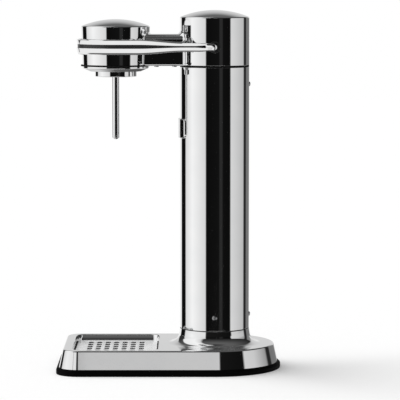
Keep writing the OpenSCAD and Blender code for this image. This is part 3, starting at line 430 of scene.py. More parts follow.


# black rubber ring in the gap round the tray: painted shade, a dark piece that stands for the shade in that
# gap
seat = dict(wallGap=0.05, trayGap=0.1, lift=0.02, h=0.5)
gapShadeIn = base["wellGap"] - seat["trayGap"]
gapShadeProfile = [(seat["wallGap"], ledgeZ + seat["lift"]), (seat["wallGap"], ledgeZ + seat["h"]),
    (gapShadeIn, ledgeZ + seat["h"]), (gapShadeIn, ledgeZ + seat["lift"])]
makePiece("tray_gap_shade", [swept(wellLine, gapShadeProfile, True)], "seal_rubber", [])


# drip tray: plate with rows of short slots, wider below than at the top, and a skirt
tray = dict(r=8, edgeR=0.4, edgeIn=2, slotW=5.8, slotL=10.5, slotR=1.5, pitch=(10, 15), shift=-1.1,
    border=(14, 10), lip=0.12, lipShare=0.3, spread=1.8, skirtIn=3.4, skirtR=4.6, skirtLap=0.3)
trayTop = trayHi[2]
trayLine = rectStations(trayLo, trayHi, tray["r"])
slotCols = int((trayHi[0] - trayLo[0] - 2 * tray["border"][0]) / tray["pitch"][0]) + 1
slotRows = int((trayHi[1] - trayLo[1] - 2 * tray["border"][1] - tray["slotL"]) / tray["pitch"][1]) + 1
slotMid = np.array([(trayLo[0] + trayHi[0]) / 2 + tray["shift"], 0])
slotHalf = np.array([tray["slotW"], tray["slotL"]]) / 2
slotSpots = [slotMid + np.array(tray["pitch"]) * (i - (slotCols - 1) / 2, j - (slotRows - 1) / 2)
    for i in range(slotCols) for j in range(slotRows)]
slots = [rectStations(spot - slotHalf, spot + slotHalf, tray["slotR"], steps=5) for spot in slotSpots]
lipMid = tray["lip"] * tray["lipShare"]
slotProfile = np.array([(-tray["lip"], trayTop), (-lipMid, trayTop - lipMid), (0, trayTop - tray["lip"]),
    (-tray["spread"], ledgeZ)])
edgeProfile = roundedLine([(tray["edgeIn"], trayTop), (0, trayTop, tray["edgeR"]), (0, ledgeZ)], steps=5)
skirtLine = rectStations(trayLo[:2] + tray["skirtIn"], trayHi[:2] - tray["skirtIn"], tray["skirtR"])
skirtTop = ledgeZ + tray["skirtLap"]
skirtProfile = [(0, skirtTop), (0, trayLo[2]), (base["trayT"], trayLo[2]), (base["trayT"], skirtTop)]
makePiece("drip_tray_plate", [
    swept(trayLine, edgeProfile),
    flatPlate([inset(trayLine, edgeProfile[0][0])] + [inset(s, slotProfile[0][0]) for s in slots], trayTop),
    flatPlate([inset(trayLine, 0)] + [inset(s, slotProfile[-1][0]) for s in slots], ledgeZ),
    *[swept(s, slotProfile) for s in slots],
    swept(skirtLine, skirtProfile, True),
], "tray_steel", ["drip_tray"], "tray")


# column tube, with a black ring in the joint below the casing and one above the neck, both painted shade:
# dark pieces that stand for the shade in those gaps
joint = dict(up=0.75, down=0.85, neckGap=0.95, inStep=0.15, depth=3, gap=0.03, edgeR=0.25, tubeEdgeR=0.2,
    boreIn=2)
columnLo, columnHi = boxMm("column_tube")
tubeFoot = neckTop + joint["neckGap"]
tubeTop = columnHi[2] - joint["down"]
columnProfile = roundedLine([
    (boreR, columnLo[2] + joint["boreIn"]), (boreR, tubeFoot), (columnR, tubeFoot, joint["tubeEdgeR"]),
    (columnR, tubeTop, joint["tubeEdgeR"]), (boreR, tubeTop), (boreR, columnHi[2] - joint["boreIn"]),
], steps=4)
makePiece("column_shell", [turned(columnProfile, columnX, closed=True)], "polished_steel", ["column_tube"])


def jointShadeRing(name, x, r, z0, z1):
    # flat black ring with a rounded outer edge between two pieces that end at z0 and z1, painted shade for
    # the gap between them
    low, high = z0 + joint["gap"], z1 - joint["gap"]
    inR = r - joint["depth"]
    edgeR = joint["edgeR"]
    ring = roundedLine([(inR, low), (r, low, edgeR), (r, high, edgeR), (inR, high)], steps=4)
    makePiece(name, [turned(ring, x, closed=True)], "seal_rubber", [])


jointShadeRing("column_joint_shade", columnX, columnR - joint["inStep"], tubeTop, seamZ + joint["up"])
jointShadeRing("neck_joint_shade", columnX, columnR - joint["inStep"], neckTop, tubeFoot)


# screws with a six-sided socket
buttonScrew = dict(headR=2.85, headH=1.65, shankR=1.5, shankL=6, socketR=1.05, socketDepth=1.0, rim=1.45)
lowScrew = dict(headR=2.7, headH=1.2, shankR=1.5, shankL=9, socketR=1.3, socketDepth=0.8, rim=1.3)
screwForm = dict(steps=48, domeRows=10, edgeR=0.4, socketStep=0.02, socketCone=1.2, sharp=30)


def screw(size, domed):
    # head below z = 0 and shank above it: a turned profile whose last rows change from round to six-sided
    a = around(screwForm["steps"])
    hexR = size["socketR"] / np.cos((a + math.pi / 6) % (math.pi / 3) - math.pi / 6)
    headR, headH = size["headR"], size["headH"]
    rimR = size["socketR"] * size["rim"]
    if domed:
        ballR = (headR ** 2 + headH ** 2) / (2 * headH)
        r = np.linspace(headR, rimR, screwForm["domeRows"])
        crown = np.stack([r, headH - ballR + np.sqrt(ballR ** 2 - r ** 2)], -1)
    else:
        crown = roundedLine([(headR, 0), (headR, headH, screwForm["edgeR"]), (rimR, headH)], steps=6)
    top = crown[-1][1]
    shank = [(0, -size["shankL"]), (size["shankR"], -size["shankL"]), (size["shankR"], 0), (headR, 0)]
    rings = [(r, -h) for r, h in np.vstack([shank, crown])]
    rings += [(hexR, -top - screwForm["socketStep"]), (hexR, size["socketDepth"] - top),
        (0, size["socketDepth"] * screwForm["socketCone"] - top)]
    return strip(np.array([roundPoints(0, r, z, a) for r, z in rings]))


screwLo, screwHi = boxMm("column_screws")
lowZ = screwLo[2] + buttonScrew["headR"]
highZ = screwHi[2] - buttonScrew["headR"]
columnScrews = []
for angle, z in ((-90, lowZ), (90, lowZ), (0, lowZ), (0, highZ)):
    c, s = math.cos(math.radians(angle)), math.sin(math.radians(angle))
    turn = [[0, -s, -c], [0, c, -s], [1, 0, 0]]  # local z points from the head into the column
    columnScrews.append(placed(screw(buttonScrew, True), turn, (columnX + columnR * c, columnR * s, z)))
makePiece("button_screws", columnScrews, "dark_screw", ["column_screws"], sharp=screwForm["sharp"])
coverLo, coverHi = boxMm("cover_screws")
screwAt = np.array([coverLo + lowScrew["headR"], coverHi - lowScrew["headR"]])
coverScrews = [placed(screw(lowScrew, False), np.eye(3), (x, y, seamZ))
    for x in screwAt[:, 0] for y in screwAt[:, 1]]
makePiece("bridge_screws", coverScrews, "bright_screw", ["cover_screws"], sharp=screwForm["sharp"])


# upper casing: cap over the column, head, and the bridge between them with its rolled fillets
casing = dict(wall=2, rimR=1.7, bottomR=0.2, domeIn=1, domeStop=3, domeRows=28, capRise=7.6,
    headH=53.1, headR=39.5, headTaper=1.2, taperFrom=8, headRise=7.5, headGap=0.9,
    bridgeW=40, bridgeH=36, bridgeR=6, bridgeBottomR=1.7, sectionStep=1.5,
    capFillet=(6, 4), headFillet=(3, 2.5), filletRows=11, crease=0.26, runOn=1.2, lap=0.6, fade=1.2)
headTop = seamZ + casing["headH"]
capTop = boxMm("upper_casing")[1][2]


def domedCan(r, taper, rim, top, z0):
    # spherical dome, rounded rim and wall down to z0, then the same form one wall further in
    wall = casing["wall"]
    ballR = ((r - casing["domeIn"]) ** 2 + (top - rim) ** 2) / (2 * (top - rim))

    def dome(wide, ball):
        d = np.linspace(0, wide - casing["domeStop"], casing["domeRows"])
        corner = top - ballR + math.sqrt(ball ** 2 - wide ** 2)
        return np.stack([d, top - ballR + np.sqrt(ball ** 2 - d ** 2)], -1), corner

    outDome, outCorner = dome(r, ballR)
    inDome, inCorner = dome(r - wall, ballR - wall)
    bottom = r - taper
    outer = roundedLine([tuple(outDome[-1]), (r, outCorner, casing["rimR"]), (bottom, z0, casing["bottomR"]),
        (bottom - wall, z0)], steps=8)
    inner = np.array([(bottom - wall, z0), (r - wall, inCorner)])
    return np.vstack([outDome[:-1], outer, inner, inDome[::-1]])


def bridgeSection():
    # closed loop of an upside-down channel as (y, z), with the fillet share of each point
    w = casing["bridgeW"] / 2
    t = casing["wall"]
    top = seamZ + casing["bridgeH"]
    r = casing["bridgeR"]
    outer = roundedLine([(t - w, seamZ), (-w, seamZ, casing["bridgeBottomR"]), (-w, top, r), (w, top, r),
        (w, seamZ, casing["bridgeBottomR"]), (w - t, seamZ)], steps=10)
    inner = roundedLine([(w - t, seamZ), (w - t, top - t, r - t), (t - w, top - t, r - t),
        (t - w, seamZ)], steps=4)[1:-1]
    runs = [outer[:1]]
    for p, q in zip(outer, outer[1:]):
        n = max(1, int(np.linalg.norm(q - p) / casing["sectionStep"]))
        runs.append(p + (q - p) * np.linspace(1 / n, 1, n)[:, None])
    outer = np.vstack(runs)
    share = smoothStep(outer[:, 1], seamZ, seamZ + casing["fade"])
    return np.vstack([outer, inner]), np.hstack([share, np.zeros(len(inner))])


def bridgeEnd(section, share, axisX, radiusAt, side, filletR):
    # a ball of the fillet's radius (side, top) rolls along the bar and the round wall: its centre stands off
    # the section by that radius along the normal, and the arc turns from the bar's contact to the wall's
    ahead = np.roll(section, -1, 0) - np.roll(section, 1, 0)
    normal = np.stack([-ahead[:, 1], np.maximum(ahead[:, 0], 0)], -1)
    normal[np.abs(normal).sum(1) < nearNil] = (0, 1)
    normal /= np.linalg.norm(normal, axis=1, keepdims=True)
    rf = mixed(*filletR, normal[:, 1] ** 2) * share
    centre = section + rf[:, None] * normal
    reach = radiusAt(centre[:, 1]) + rf
    cx = axisX + side * np.sqrt(np.maximum(reach ** 2 - centre[:, 0] ** 2, 1))
    toBar = np.column_stack([np.zeros(len(rf)), -normal])
    toWall = np.column_stack([axisX - cx, -centre[:, 0], np.zeros(len(rf))])
    toWall /= np.linalg.norm(toWall, axis=1, keepdims=True)
    turn = np.arccos(np.clip((toBar * toWall).sum(1), -1, 1))[:, None]
    ball = np.column_stack([cx, centre])
    # at the sides the arc stops short and runs straight into the wall
    last = 1 - casing["crease"] * (1 - normal[:, 1:] ** 2)
    rows = []
    for part in np.linspace(0, 1, casing["filletRows"]):
        t = last * part
        arc = (np.sin((1 - t) * turn) * toBar + np.sin(t * turn) * toWall) / np.sin(turn)
        rows.append(ball + rf[:, None] * arc)
    onward = (np.cos(last * turn) * toWall - np.cos((1 - last) * turn) * toBar) / np.sin(turn)
    rows.append(rows[-1] + onward * rf[:, None] * np.tan((1 - last) * turn / 2) * casing["runOn"])
    rows.append(rows[-1] + toWall * casing["wall"] * casing["lap"])
    return rows


def headRadius(z):
    # full radius near the top, less towards the seam
    start = headTop - casing["taperFrom"]
    return casing["headR"] - casing["headTaper"] * np.clip((start - z) / (start - seamZ), 0, 1)


section, share = bridgeSection()
towardCap = bridgeEnd(section, share, columnX, lambda z: columnR + 0 * z, -1, casing["capFillet"])
towardHead = bridgeEnd(section, share, headX, headRadius, 1, casing["headFillet"])
makePiece("casing_shell", [
    turned(domedCan(columnR, 0, capTop - casing["capRise"], capTop, seamZ + joint["up"]), columnX),
    turned(domedCan(casing["headR"], casing["headTaper"], headTop - casing["headRise"], headTop,
        seamZ + casing["headGap"]), headX),
    strip(np.array(towardHead[::-1] + towardCap)),
], "polished_steel", ["upper_casing"], fill=True)


# plate that closes the bridge from below, its ends cut round along the head and the cap
floorPlate = dict(gap=0.1, cols=41)
floorLo, floorHi = boxMm("bridge_cover")
floorHalf = casing["bridgeW"] / 2 - casing["wall"] - floorPlate["gap"]
floorY = np.linspace(-floorHalf, floorHalf, floorPlate["cols"])
headCut = math.hypot(floorLo[0] - headX, floorHi[1])
capCut = math.hypot(columnX - floorHi[0], floorHi[1])
floorX0 = headX + np.sqrt(headCut ** 2 - floorY ** 2)
floorX1 = columnX - np.sqrt(capCut ** 2 - floorY ** 2)
floorGrid = np.stack([np.stack([x, floorY, 0 * floorY + z], -1) for x, z in (
    (floorX0, floorLo[2]), (floorX1, floorLo[2]), (floorX1, floorHi[2]), (floorX0, floorHi[2]))], 1)
makePiece("bridge_floor", [strip(floorGrid)], slotOf["bridge_cover"], ["bridge_cover"], fill=True)


def onShaft(profile, face):
    # the profile turned about the lever's shaft, at both sides of the cap
    part = turned(profile, 0, smallSteps)
    return [placed(part, [[1, 0, 0], [0, 0, s], [0, -s, 0]], (columnX, s * face, pivotZ)) for s in (-1, 1)]


# bushes, where the lever's shaft leaves the cap
bush = dict(flangeR=6.8, bodyR=5.7, holeR=4.05, flangeT=1.5, length=6.1, flangeEdgeR=0.5, holeEdgeR=0.3)
bushFace = boxMm("pivot_bushes")[1][1]
bushProfile = roundedLine([
    (bush["holeR"], -bush["length"]), (bush["bodyR"], -bush["length"]), (bush["bodyR"], -bush["flangeT"]),
    (bush["flangeR"], -bush["flangeT"]), (bush["flangeR"], 0, bush["flangeEdgeR"]),
    (bush["holeR"], 0, bush["holeEdgeR"]), (bush["holeR"], -bush["length"]),
], steps=5)
makePiece("shaft_bushes", onShaft(bushProfile, bushFace), "black_plastic", ["pivot_bushes"])


# loop lever: two rails round an inlaid strip, narrow beside the column, with round ends at the shaft
lever = dict(t=2.5, h=17, armH=9.8, endH=8.4, narrow=(-36, 19), flare=12, bevel=0.7, bevelShare=0.2,
    strip=4.4, armStrip=1.7, endStrip=3.2, endGap=10.2, stripRound=0.6, leastStrip=0.02,
    closeRun=1.5, tip=4.2, tipBack=1.7, leastTip=0.0004, tipSteps=24, armSteps=180, bowSteps=120,
    edgeStart=2, edgeFrom=-0.3, edgeIn=0.106, edgeBow=0.08, endTop=0.75,
    groove=0.6, grooveUp=0.8, lean=1.1, topShare=(0.16, 0.2), topIn=1.9, ridgeIn=0.02,
    bottomShare=0.3, bottomIn=1.2, rimShare=0.02, ridgeShare=0.03, sharp=50)
loopR = boxMm("lever_band")[1][1] - lever["t"]
stripEnd = columnX - lever["endGap"]
tipX = columnX - lever["tipBack"]


def leverPath():
    # one arm from the shaft to the head, half a turn round the head, and the other arm back
    tip = tipX + lever["tip"] * np.sin(np.linspace(math.pi / 2, 0, lever["tipSteps"]))
    run = np.linspace(tipX, headX, lever["armSteps"])[1:-1]
    arm = np.hstack([tip, run])
    a = np.radians(np.linspace(-90, -270, lever["bowSteps"]))
    x = np.hstack([arm, headX + loopR * np.cos(a), arm[::-1]])
    y = np.hstack([np.full(len(arm), -loopR), loopR * np.sin(a), np.full(len(arm), loopR)])
    nx = np.hstack([0 * arm, np.cos(a), 0 * arm])
    ny = np.hstack([0 * arm - 1, np.sin(a), 0 * arm + 1])
    return [v[:, None] for v in (x, y, nx, ny)]


pathX, pathY, outX, outY = leverPath()


def leverSizes(x):
    # along the arm: band height, strip height, how far the two rails have closed into one, the strip's height
    # above the band's middle, and how far the band has narrowed
    slim = smoothStep(x, *lever["narrow"])
    past = np.maximum(0, x - tipX)
    high = mixed(lever["h"], lever["armH"], slim)
    high += (lever["endH"] - lever["armH"]) * smoothStep(x, stripEnd - lever["flare"], tipX)
    high = high * np.sqrt(np.maximum(1 - (past / lever["tip"]) ** 2, lever["leastTip"]))
    wide = mixed(lever["strip"], lever["armStrip"], slim)
    wide += (lever["endStrip"] - lever["armStrip"]) * np.clip((x - stripEnd) / lever["flare"] + 1, 0, 1)
    end = np.clip((x - stripEnd + lever["stripRound"]) / lever["stripRound"], 0, 1)
    wide = wide * np.sqrt(1 - end ** 2) + lever["leastStrip"]
    closed = smoothStep(x, stripEnd - lever["stripRound"], stripEnd + lever["closeRun"])
    return high, wide, closed, lever["grooveUp"] * (1 - closed), slim


def alongLever(out, up):
    # rows of outward and up for each station, carried along the path
    return np.stack([pathX + out * outX, pathY + out * outY, pivotZ + up], -1)


def leverBand():
    # each rail is a bevel and a face that leans, given at shares of the rail's height with their depth below
    # the band's outer face; where the strip has ended the two faces become one
    high, wide, closed, mid, slim = leverSizes(pathX)
    thick, raised = lever["t"], lever["grooveUp"]
    topRail = (high - wide) / 2 - mid
    lowRail = (high - wide) / 2 + mid
    bowRail = (lever["h"] - lever["strip"]) / 2
    topLean = lever["lean"] * np.minimum(topRail / (bowRail - raised), 1)
    lowLean = lever["lean"] * np.minimum(lowRail / (bowRail + raised), 1)
    step = topLean * closed / 2
    nil = 0 * high
    ridge = mixed(*lever["topShare"], slim)
    heel = nil + 1 - lever["bottomShare"]
    rim, soft = lever["rimShare"], lever["ridgeShare"]
    topAt = np.hstack([nil, nil + rim, ridge - soft, ridge, ridge + soft, nil + 1 - rim, nil + 1])
    bevelIn = lever["topIn"] * (1 - lever["endTop"] * closed) * (1 - topAt / ridge)
    faceIn = (topLean - step) * (topAt - ridge) / (1 - ridge)
    topIn = np.where(topAt < ridge, bevelIn, faceIn)
    topIn[:, 3] += lever["ridgeIn"]
    lowAt = np.hstack([nil, nil + rim, heel - soft, heel, heel + soft, nil + 1 - rim, nil + 1])
    faceIn = step + (lowLean - step) * lowAt / heel
    bevelIn = lowLean + lever["bottomIn"] * (lowAt - heel) / (1 - heel)
    lowIn = np.where(lowAt > heel, bevelIn, faceIn)
    bevel = np.minimum(lever["bevel"], high * lever["bevelShare"])
    floor = thick - topLean - lever["groove"] * (1 - closed) + (topLean - step) * closed
    out = np.hstack([nil, bevel, thick - topIn, floor, floor, thick - lowIn, bevel, nil])
    up = np.hstack([high / 2 - bevel, high / 2, high / 2 - topRail * topAt, mid + wide / 2, mid - wide / 2,
        mid - wide / 2 - lowRail * lowAt, -high / 2, bevel - high / 2])
    # the end falls away by the square of the way past a bowed line
    way = np.maximum(pathX - tipX - lever["edgeFrom"] + lever["edgeBow"] * up ** 2, 0)
    way = np.where(pathX > stripEnd + lever["edgeStart"], way, 0)
    return strip(alongLever(np.maximum(out - lever["edgeIn"] * way ** 2, 0), up))


inlay = dict(seat=0.05, sunk=0.2, bevel=0.15, sideGap=0.05, leastHalf=0.01, faceShare=0.92)


def leverStrip():
    # flat strip with bevelled edges on the groove's floor, as far as the rails stay apart
    _, wide, _, mid, _ = leverSizes(pathX)
    face = lever["t"] - lever["lean"] - inlay["sunk"]
    floor = lever["t"] - lever["lean"] - lever["groove"] + inlay["seat"]
    side = face - inlay["bevel"]
    half = np.maximum(wide / 2 - inlay["sideGap"], inlay["leastHalf"])
    share = inlay["faceShare"]
    out = np.hstack([0 * half + v for v in (floor, side, face, face, side, floor)])
    up = mid + np.hstack([half * v for v in (-1, -1, -share, share, 1, 1)])
    return strip(alongLever(out, up)[pathX[:, 0] < stripEnd])


eye = dict(gap=0.2, lap=0.2, holeR=3.05, edgeR=0.3)
eyeR = halfSize("lever_eyes")[2]
eyeFace = bushFace + eye["gap"]
eyeL = loopR - eyeFace + eye["lap"]
eyeProfile = roundedLine([(eye["holeR"], 0), (eyeR, 0, eye["edgeR"]), (eyeR, eyeL), (eye["holeR"], eyeL),
    (eye["holeR"], 0)], steps=4)
makePiece("lever_loop", [leverBand()], "lever_steel", ["lever_band"], "lever", lever["sharp"], fill=True)
makePiece("lever_strip", [leverStrip()], "inlay_black", ["lever_inlay"], "lever", fill=True)
makePiece("lever_bosses", onShaft(eyeProfile, eyeFace), "lever_steel", ["lever_eyes"], "lever")


# cover under the head, and the black ring in the joint above it, painted shade for that gap
cover = dict(coneIn=8.3, coneR=0.8, wallUp=3.5, wallIn=0.2, wallEdgeR=0.2, rimIn=0.8, rimT=2, floorT=3.4,
    floorR=28.5, holeR=22.1, ringIn=0.35)
coverZ = boxMm("head_cover")[0][2]
coverTop = boxMm("head_cover")[1][2]
coverFloor = coverZ + cover["floorT"]
rimR = casing["headR"] - casing["wall"] - cover["rimIn"]
wallR = casing["headR"] - casing["headTaper"] - cover["wallIn"]
wallTop = seamZ - joint["up"]
coverProfile = roundedLine([
    (cover["holeR"], coverZ), (wallR - cover["coneIn"], coverZ, cover["coneR"]),
    (wallR, coverZ + cover["wallUp"], cover["coneR"]), (wallR, wallTop, cover["wallEdgeR"]), (rimR, wallTop),
    (rimR, coverTop), (rimR - cover["rimT"], coverTop), (rimR - cover["rimT"], wallTop),
    (cover["floorR"], coverFloor), (cover["holeR"], coverFloor),
], steps=6)
jointShadeRing("head_joint_shade", headX, lipR - cover["ringIn"], wallTop, seamZ + casing["headGap"])
makePiece("head_base", [turned(coverProfile, headX, closed=True)], "polished_steel", ["head_cover"])


# collar that the bottle screws into
collar = dict(boreR=20.5, spigotR=22, edgeR=0.6, gap=0.05, pitch=3, threadDepth=0.7, threadEnds=(0.8, 2),
    rows=60, steps=192, sharp=45)
collarLo, collarHi = boxMm("bottle_collar")
collarR = halfSize("bottle_collar")[0]
collarTop = coverZ - collar["gap"]


def collarBore(zs):
    # inner wall whose radius falls along a helix: a rounded ridge where z / pitch and the turn agree
    near, far = collar["threadEnds"]
    a = around(collar["steps"])
    z = zs[:, None]
    wave = np.cos(2 * math.pi * (z / collar["pitch"] - a / (2 * math.pi)))
    ends = smoothStep(z, zs[0] + near, zs[0] + far) * (1 - smoothStep(z, zs[-1] - far, zs[-1] - near))
    r = collar["boreR"] + collar["threadDepth"] / 2 * ends * (1 - wave)
    return roundPoints(headX, r, z, a)


collarOuter = roundedLine([(collar["boreR"], collarLo[2]), (collarR, collarLo[2], collar["edgeR"]),
    (collarR, collarTop), (collar["spigotR"], collarTop),
    (collar["spigotR"], collarHi[2]), (collar["boreR"], collarHi[2])], steps=6)
makePiece("collar_ring", [
    turned(collarOuter, headX, collar["steps"]),
    strip(collarBore(np.linspace(collarLo[2], collarHi[2], collar["rows"]))),
], "polished_steel", ["bottle_collar"], sharp=collar["sharp"])


# nozzle tube and its pointed tip
nozzle = dict(boreR=1.2, edgeR=0.2, gap=0.1, tipBoreR=0.5, tipBoreUp=1.5, pointR=1.6, pointEdgeR=0.3,
    pointH=1.8, shoulderR=0.4, spigotR=2)
nozzleLo, nozzleHi = boxMm("nozzle_tube")
tipLo, tipHi = boxMm("nozzle_tip")
nozzleR = halfSize("nozzle_tube")[0]
tipTop = nozzleLo[2] - nozzle["gap"]
tubeProfile = roundedLine([
    (nozzle["boreR"], nozzleLo[2]), (nozzleR, nozzleLo[2], nozzle["edgeR"]), (nozzleR, nozzleHi[2]),
    (nozzle["boreR"], nozzleHi[2]),
], steps=4)
tipProfile = roundedLine([
    (nozzle["tipBoreR"], tipLo[2] + nozzle["tipBoreUp"]), (nozzle["tipBoreR"], tipLo[2]),
    (nozzle["pointR"], tipLo[2], nozzle["pointEdgeR"]),
    (nozzleR, tipLo[2] + nozzle["pointH"], nozzle["shoulderR"]), (nozzleR, tipTop, nozzle["edgeR"]),
    (nozzle["spigotR"], tipTop), (nozzle["spigotR"], tipHi[2]), (nozzle["tipBoreR"], tipHi[2]),
], steps=5)
makePiece("nozzle_pipe", [turned(tubeProfile, headX, smallSteps, True)], "nozzle_steel", ["nozzle_tube"])
makePiece("nozzle_point", [turned(tipProfile, headX, smallSteps, True)], "nozzle_steel", ["nozzle_tip"])


# bare curved plate on the column's front
plate = dict(cornerR=4.4, bevel=0.5, backGap=0.05, rows=49, cols=65, sharp=30)
plateLo, plateHi = boxMm("front_plate")
plateT = columnX - columnR - plateLo[0]


def plateSheet(inStep, lift):
    # rows over the height, columns over the width; a row's half width falls by a circle's rise in the corners
    halfH = (plateHi[2] - plateLo[2]) / 2 - inStep
    halfL = plateHi[1] - inStep
    r = plate["cornerR"] - inStep
    z = halfH * np.sin(np.linspace(-math.pi / 2, math.pi / 2, plate["rows"]))[:, None]
    width = halfL - r + np.sqrt(np.maximum(r ** 2 - np.maximum(np.abs(z) - halfH + r, 0) ** 2, 0))
    y = width * np.linspace(-1, 1, plate["cols"])[None, :]
    x = columnX - np.sqrt((columnR + lift) ** 2 - y ** 2)
    return np.stack([x, y, (plateLo[2] + plateHi[2]) / 2 + z + 0 * y], -1)


def rimOf(sheet):
    return np.vstack([sheet[0, :-1], sheet[:-1, -1], sheet[-1, :0:-1], sheet[:0:-1, 0]])


plateFront = plateSheet(plate["bevel"], plateT)
plateBack = plateSheet(0, plate["backGap"])
plateRims = np.array([rimOf(plateBack), rimOf(plateSheet(0, plateT - plate["bevel"])), rimOf(plateFront)])
makePiece("bare_plate", [
    strip(plateFront, loopCols=False), strip(plateBack, loopCols=False), strip(plateRims),
], "plate_steel", ["front_plate"], sharp=plate["sharp"])


# gas cylinder inside the column: dished bottom, round heel, straight wall, round shoulder and short neck
bottle = dict(neckR=14, neckH=6, heelR=8, dishR=14, dishUp=(4, 3.2), dishBend=6, rimR=22, rimBend=3,
    shoulderRows=24, steps=128)
bottleLo, bottleHi = boxMm("gas_cylinder")
bottleR = halfSize("gas_cylinder")[0]
shoulder = bottleR - bottle["neckR"]
shoulderZ = bottleHi[2] - bottle["neckH"] - shoulder
shoulderTurn = np.linspace(0, math.pi / 2, bottle["shoulderRows"])[1:]
bottleProfile = np.vstack([
    roundedLine([(0, bottleLo[2] + bottle["dishUp"][0]),
        (bottle["dishR"], bottleLo[2] + bottle["dishUp"][1], bottle["dishBend"]),
        (bottle["rimR"], bottleLo[2], bottle["rimBend"]),
        (bottleR, bottleLo[2], bottle["heelR"]), (bottleR, shoulderZ)], steps=8),
    np.stack([bottle["neckR"] + shoulder * np.cos(shoulderTurn),
        shoulderZ + shoulder * np.sin(shoulderTurn)], -1),
    [(bottle["neckR"], bottleHi[2]), (0, bottleHi[2])],
])
makePiece("gas_bottle", [turned(bottleProfile, columnX, bottle["steps"])], "cylinder_alloy", ["gas_cylinder"],
    "cylinder")


# springs under the lever's plunger and over the relief poppet
returnCoil = dict(wire=1.2, turns=3.5, fixedEnd=0)
reliefCoil = dict(wire=0.8, turns=4, fixedEnd=1)
coilRings = 40  # a turn
coilSides = 12


def makeCoil(name, node, size):
    # round wire along a helix: its centre rises evenly, and its section stands square to the slope
    ends = boxMm(node)
    height = ends[1][2] - ends[0][2]
    wireR = size["wire"] / 2
    r = halfSize(node)[0] - wireR
    x, y = middle(node)[:2]
    a = np.linspace(0, 2 * math.pi * size["turns"], int(coilRings * size["turns"]) + 1)[:, None]
    b = around(coilSides)[None, :]
    rise = height - size["wire"]
    slope = math.atan2(rise, 2 * math.pi * r * size["turns"])
    out = r + wireR * np.cos(b)
    up = wireR * np.sin(b)
    back = up * math.sin(slope)
    points = np.stack([x + out * np.cos(a) + back * np.sin(a), y + out * np.sin(a) - back * np.cos(a),
        ends[0][2] + wireR + rise * a / a[-1] + up * math.cos(slope)], -1)
    piece = makePiece(name, [strip(points)], "spring_steel", [node], fill=True)
    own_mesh(piece)


makeCoil("return_coil", "return_spring", returnCoil)
makeCoil("relief_coil", "relief_spring", reliefCoil)


# studio: white floor, a broad sun, and a room of pale walls and dark flags that the steel mirrors
studio = dict(floorTone=0.85, floorGlow=0.18, floorHalf=6.0, ambient=0.42, sun=2.3, sunSpread=50,
    sunFrom=(-0.85, 0.25, 1.0))


def grey(tone):
    return (tone, tone, tone, 1)


def mathNode(operation, first, second=0):
    return addNode(first.id_data, "Math", {0: first, 1: second}, operation=operation).outputs[0]


def aimed(way):
    return way.to_track_quat("-Z", "Y").to_euler()


def makeFloor():
    # matt white that glows a little for the camera alone
    half = studio["floorHalf"]
    mesh = bpy.data.meshes.new("floor")
    mesh.from_pydata([(-half, -half, 0), (half, -half, 0), (half, half, 0), (-half, half, 0)], [],
        [(0, 1, 2, 3)])
    material = bpy.data.materials.new("floor_white")
    material.use_nodes = True
    tree = material.node_tree
    tree.nodes.clear()
    rays = addNode(tree, "LightPath").outputs
    power = mathNode("MULTIPLY", rays["Is Camera Ray"], studio["floorGlow"])
    glow = addNode(tree, "Emission", {"Strength": power}).outputs[0]
    matt = addNode(tree, "BsdfDiffuse", {"Color": grey(studio["floorTone"])}).outputs[0]
    both = addNode(tree, "AddShader", {0: matt, 1: glow}).outputs[0]
    addNode(tree, "OutputMaterial", {"Surface": both})
    mesh.materials.append(material)
    floor = addObject("floor", mesh)
    floor.visible_glossy = False


def makeSun():
    data = bpy.data.lights.new("key", "SUN")
    data.energy = studio["sun"]
    data.angle = math.radians(studio["sunSpread"])
    lamp = addObject("key", data)
    lamp.rotation_euler = aimed(-Vector(studio["sunFrom"]))
    lamp.visible_glossy = False


# tones that vertical steel mirrors, by compass angle from the camera's side (degrees, tone)
lowTones = [(-180, 0.9), (-146, 0.9), (-141, 0.004), (-115, 0.004), (-111, 0.75), (-80, 0.96), (-31, 0.72),
    (-28, 0.004), (14, 0.006), (17, 0.024), (25, 0.024), (28, 0.005), (52.5, 0.004), (56, 0.716),
    (110, 0.515), (115, 0.02), (127, 0.02), (131, 0.18), (160, 0.2), (168, 0.6), (180, 0.65)]
# tones that the base's leaning wall mirrors, and the pale strip that only its front sees
midTones = [(-180, 0.6), (-152, 0.8), (-147, 0.03), (-117, 0.03), (-113, 0.73), (-80, 0.9), (-31, 0.8),
    (-28, 0.01), (55.5, 0.005), (58.5, 0.66), (80, 0.62), (112, 0.32), (117, 0.02), (127, 0.02),
    (131, 0.18), (180, 0.4)]
stripTones = [(-180, 0), (-34, 0), (-33, 0.8), (-14.5, 0.8), (-12.5, 0), (-4.3, 0), (-3.1, 0.57),
    (8.6, 0.6), (10.4, 0), (180, 0)]
# upper half of the room: a soft box at the left, and the dark ceiling by height
boxTones = [(-180, 0), (-150, 0.3), (-143, 0.04), (-118, 0.04), (-112, 0.92), (-60, 1), (-36, 0.72),
    (-26, 0), (180, 0)]
darkTones = [(-90, 0.005), (17, 0.006), (22, 0.012), (30, 0.03), (40, 0.05), (50, 0.075), (62, 0.105),
    (72, 0.11), (80, 0.06), (90, 0.045)]
# tones behind the object by height, which domes and level tops mirror
backTones = [(-90, 0.2), (-2, 0.6), (1, 0.84), (5, 0.76), (9, 0.66), (18, 0.62), (25, 0.52), (30.5, 0.39),
    (35, 0.22), (39, 0.12), (46, 0.14), (60, 0.1), (90, 0.06)]
# tones below the horizon and near the ground, by compass angle
underTones = [(-180, 0.1), (-179, 0.13), (-176, 0.5), (-170, 0.62), (-156, 0.87), (34, 0.87), (38, 0.08),
    (56, 0.08), (62, 0.8), (150, 0.87), (166, 0.08), (180, 0.1)]
groundTones = [(-180, 0.11), (-176, 0.16), (-170, 0.45), (-160, 0.56), (-145, 0.5), (-130, 0.13),
    (130, 0.13), (150, 0.06), (180, 0.11)]
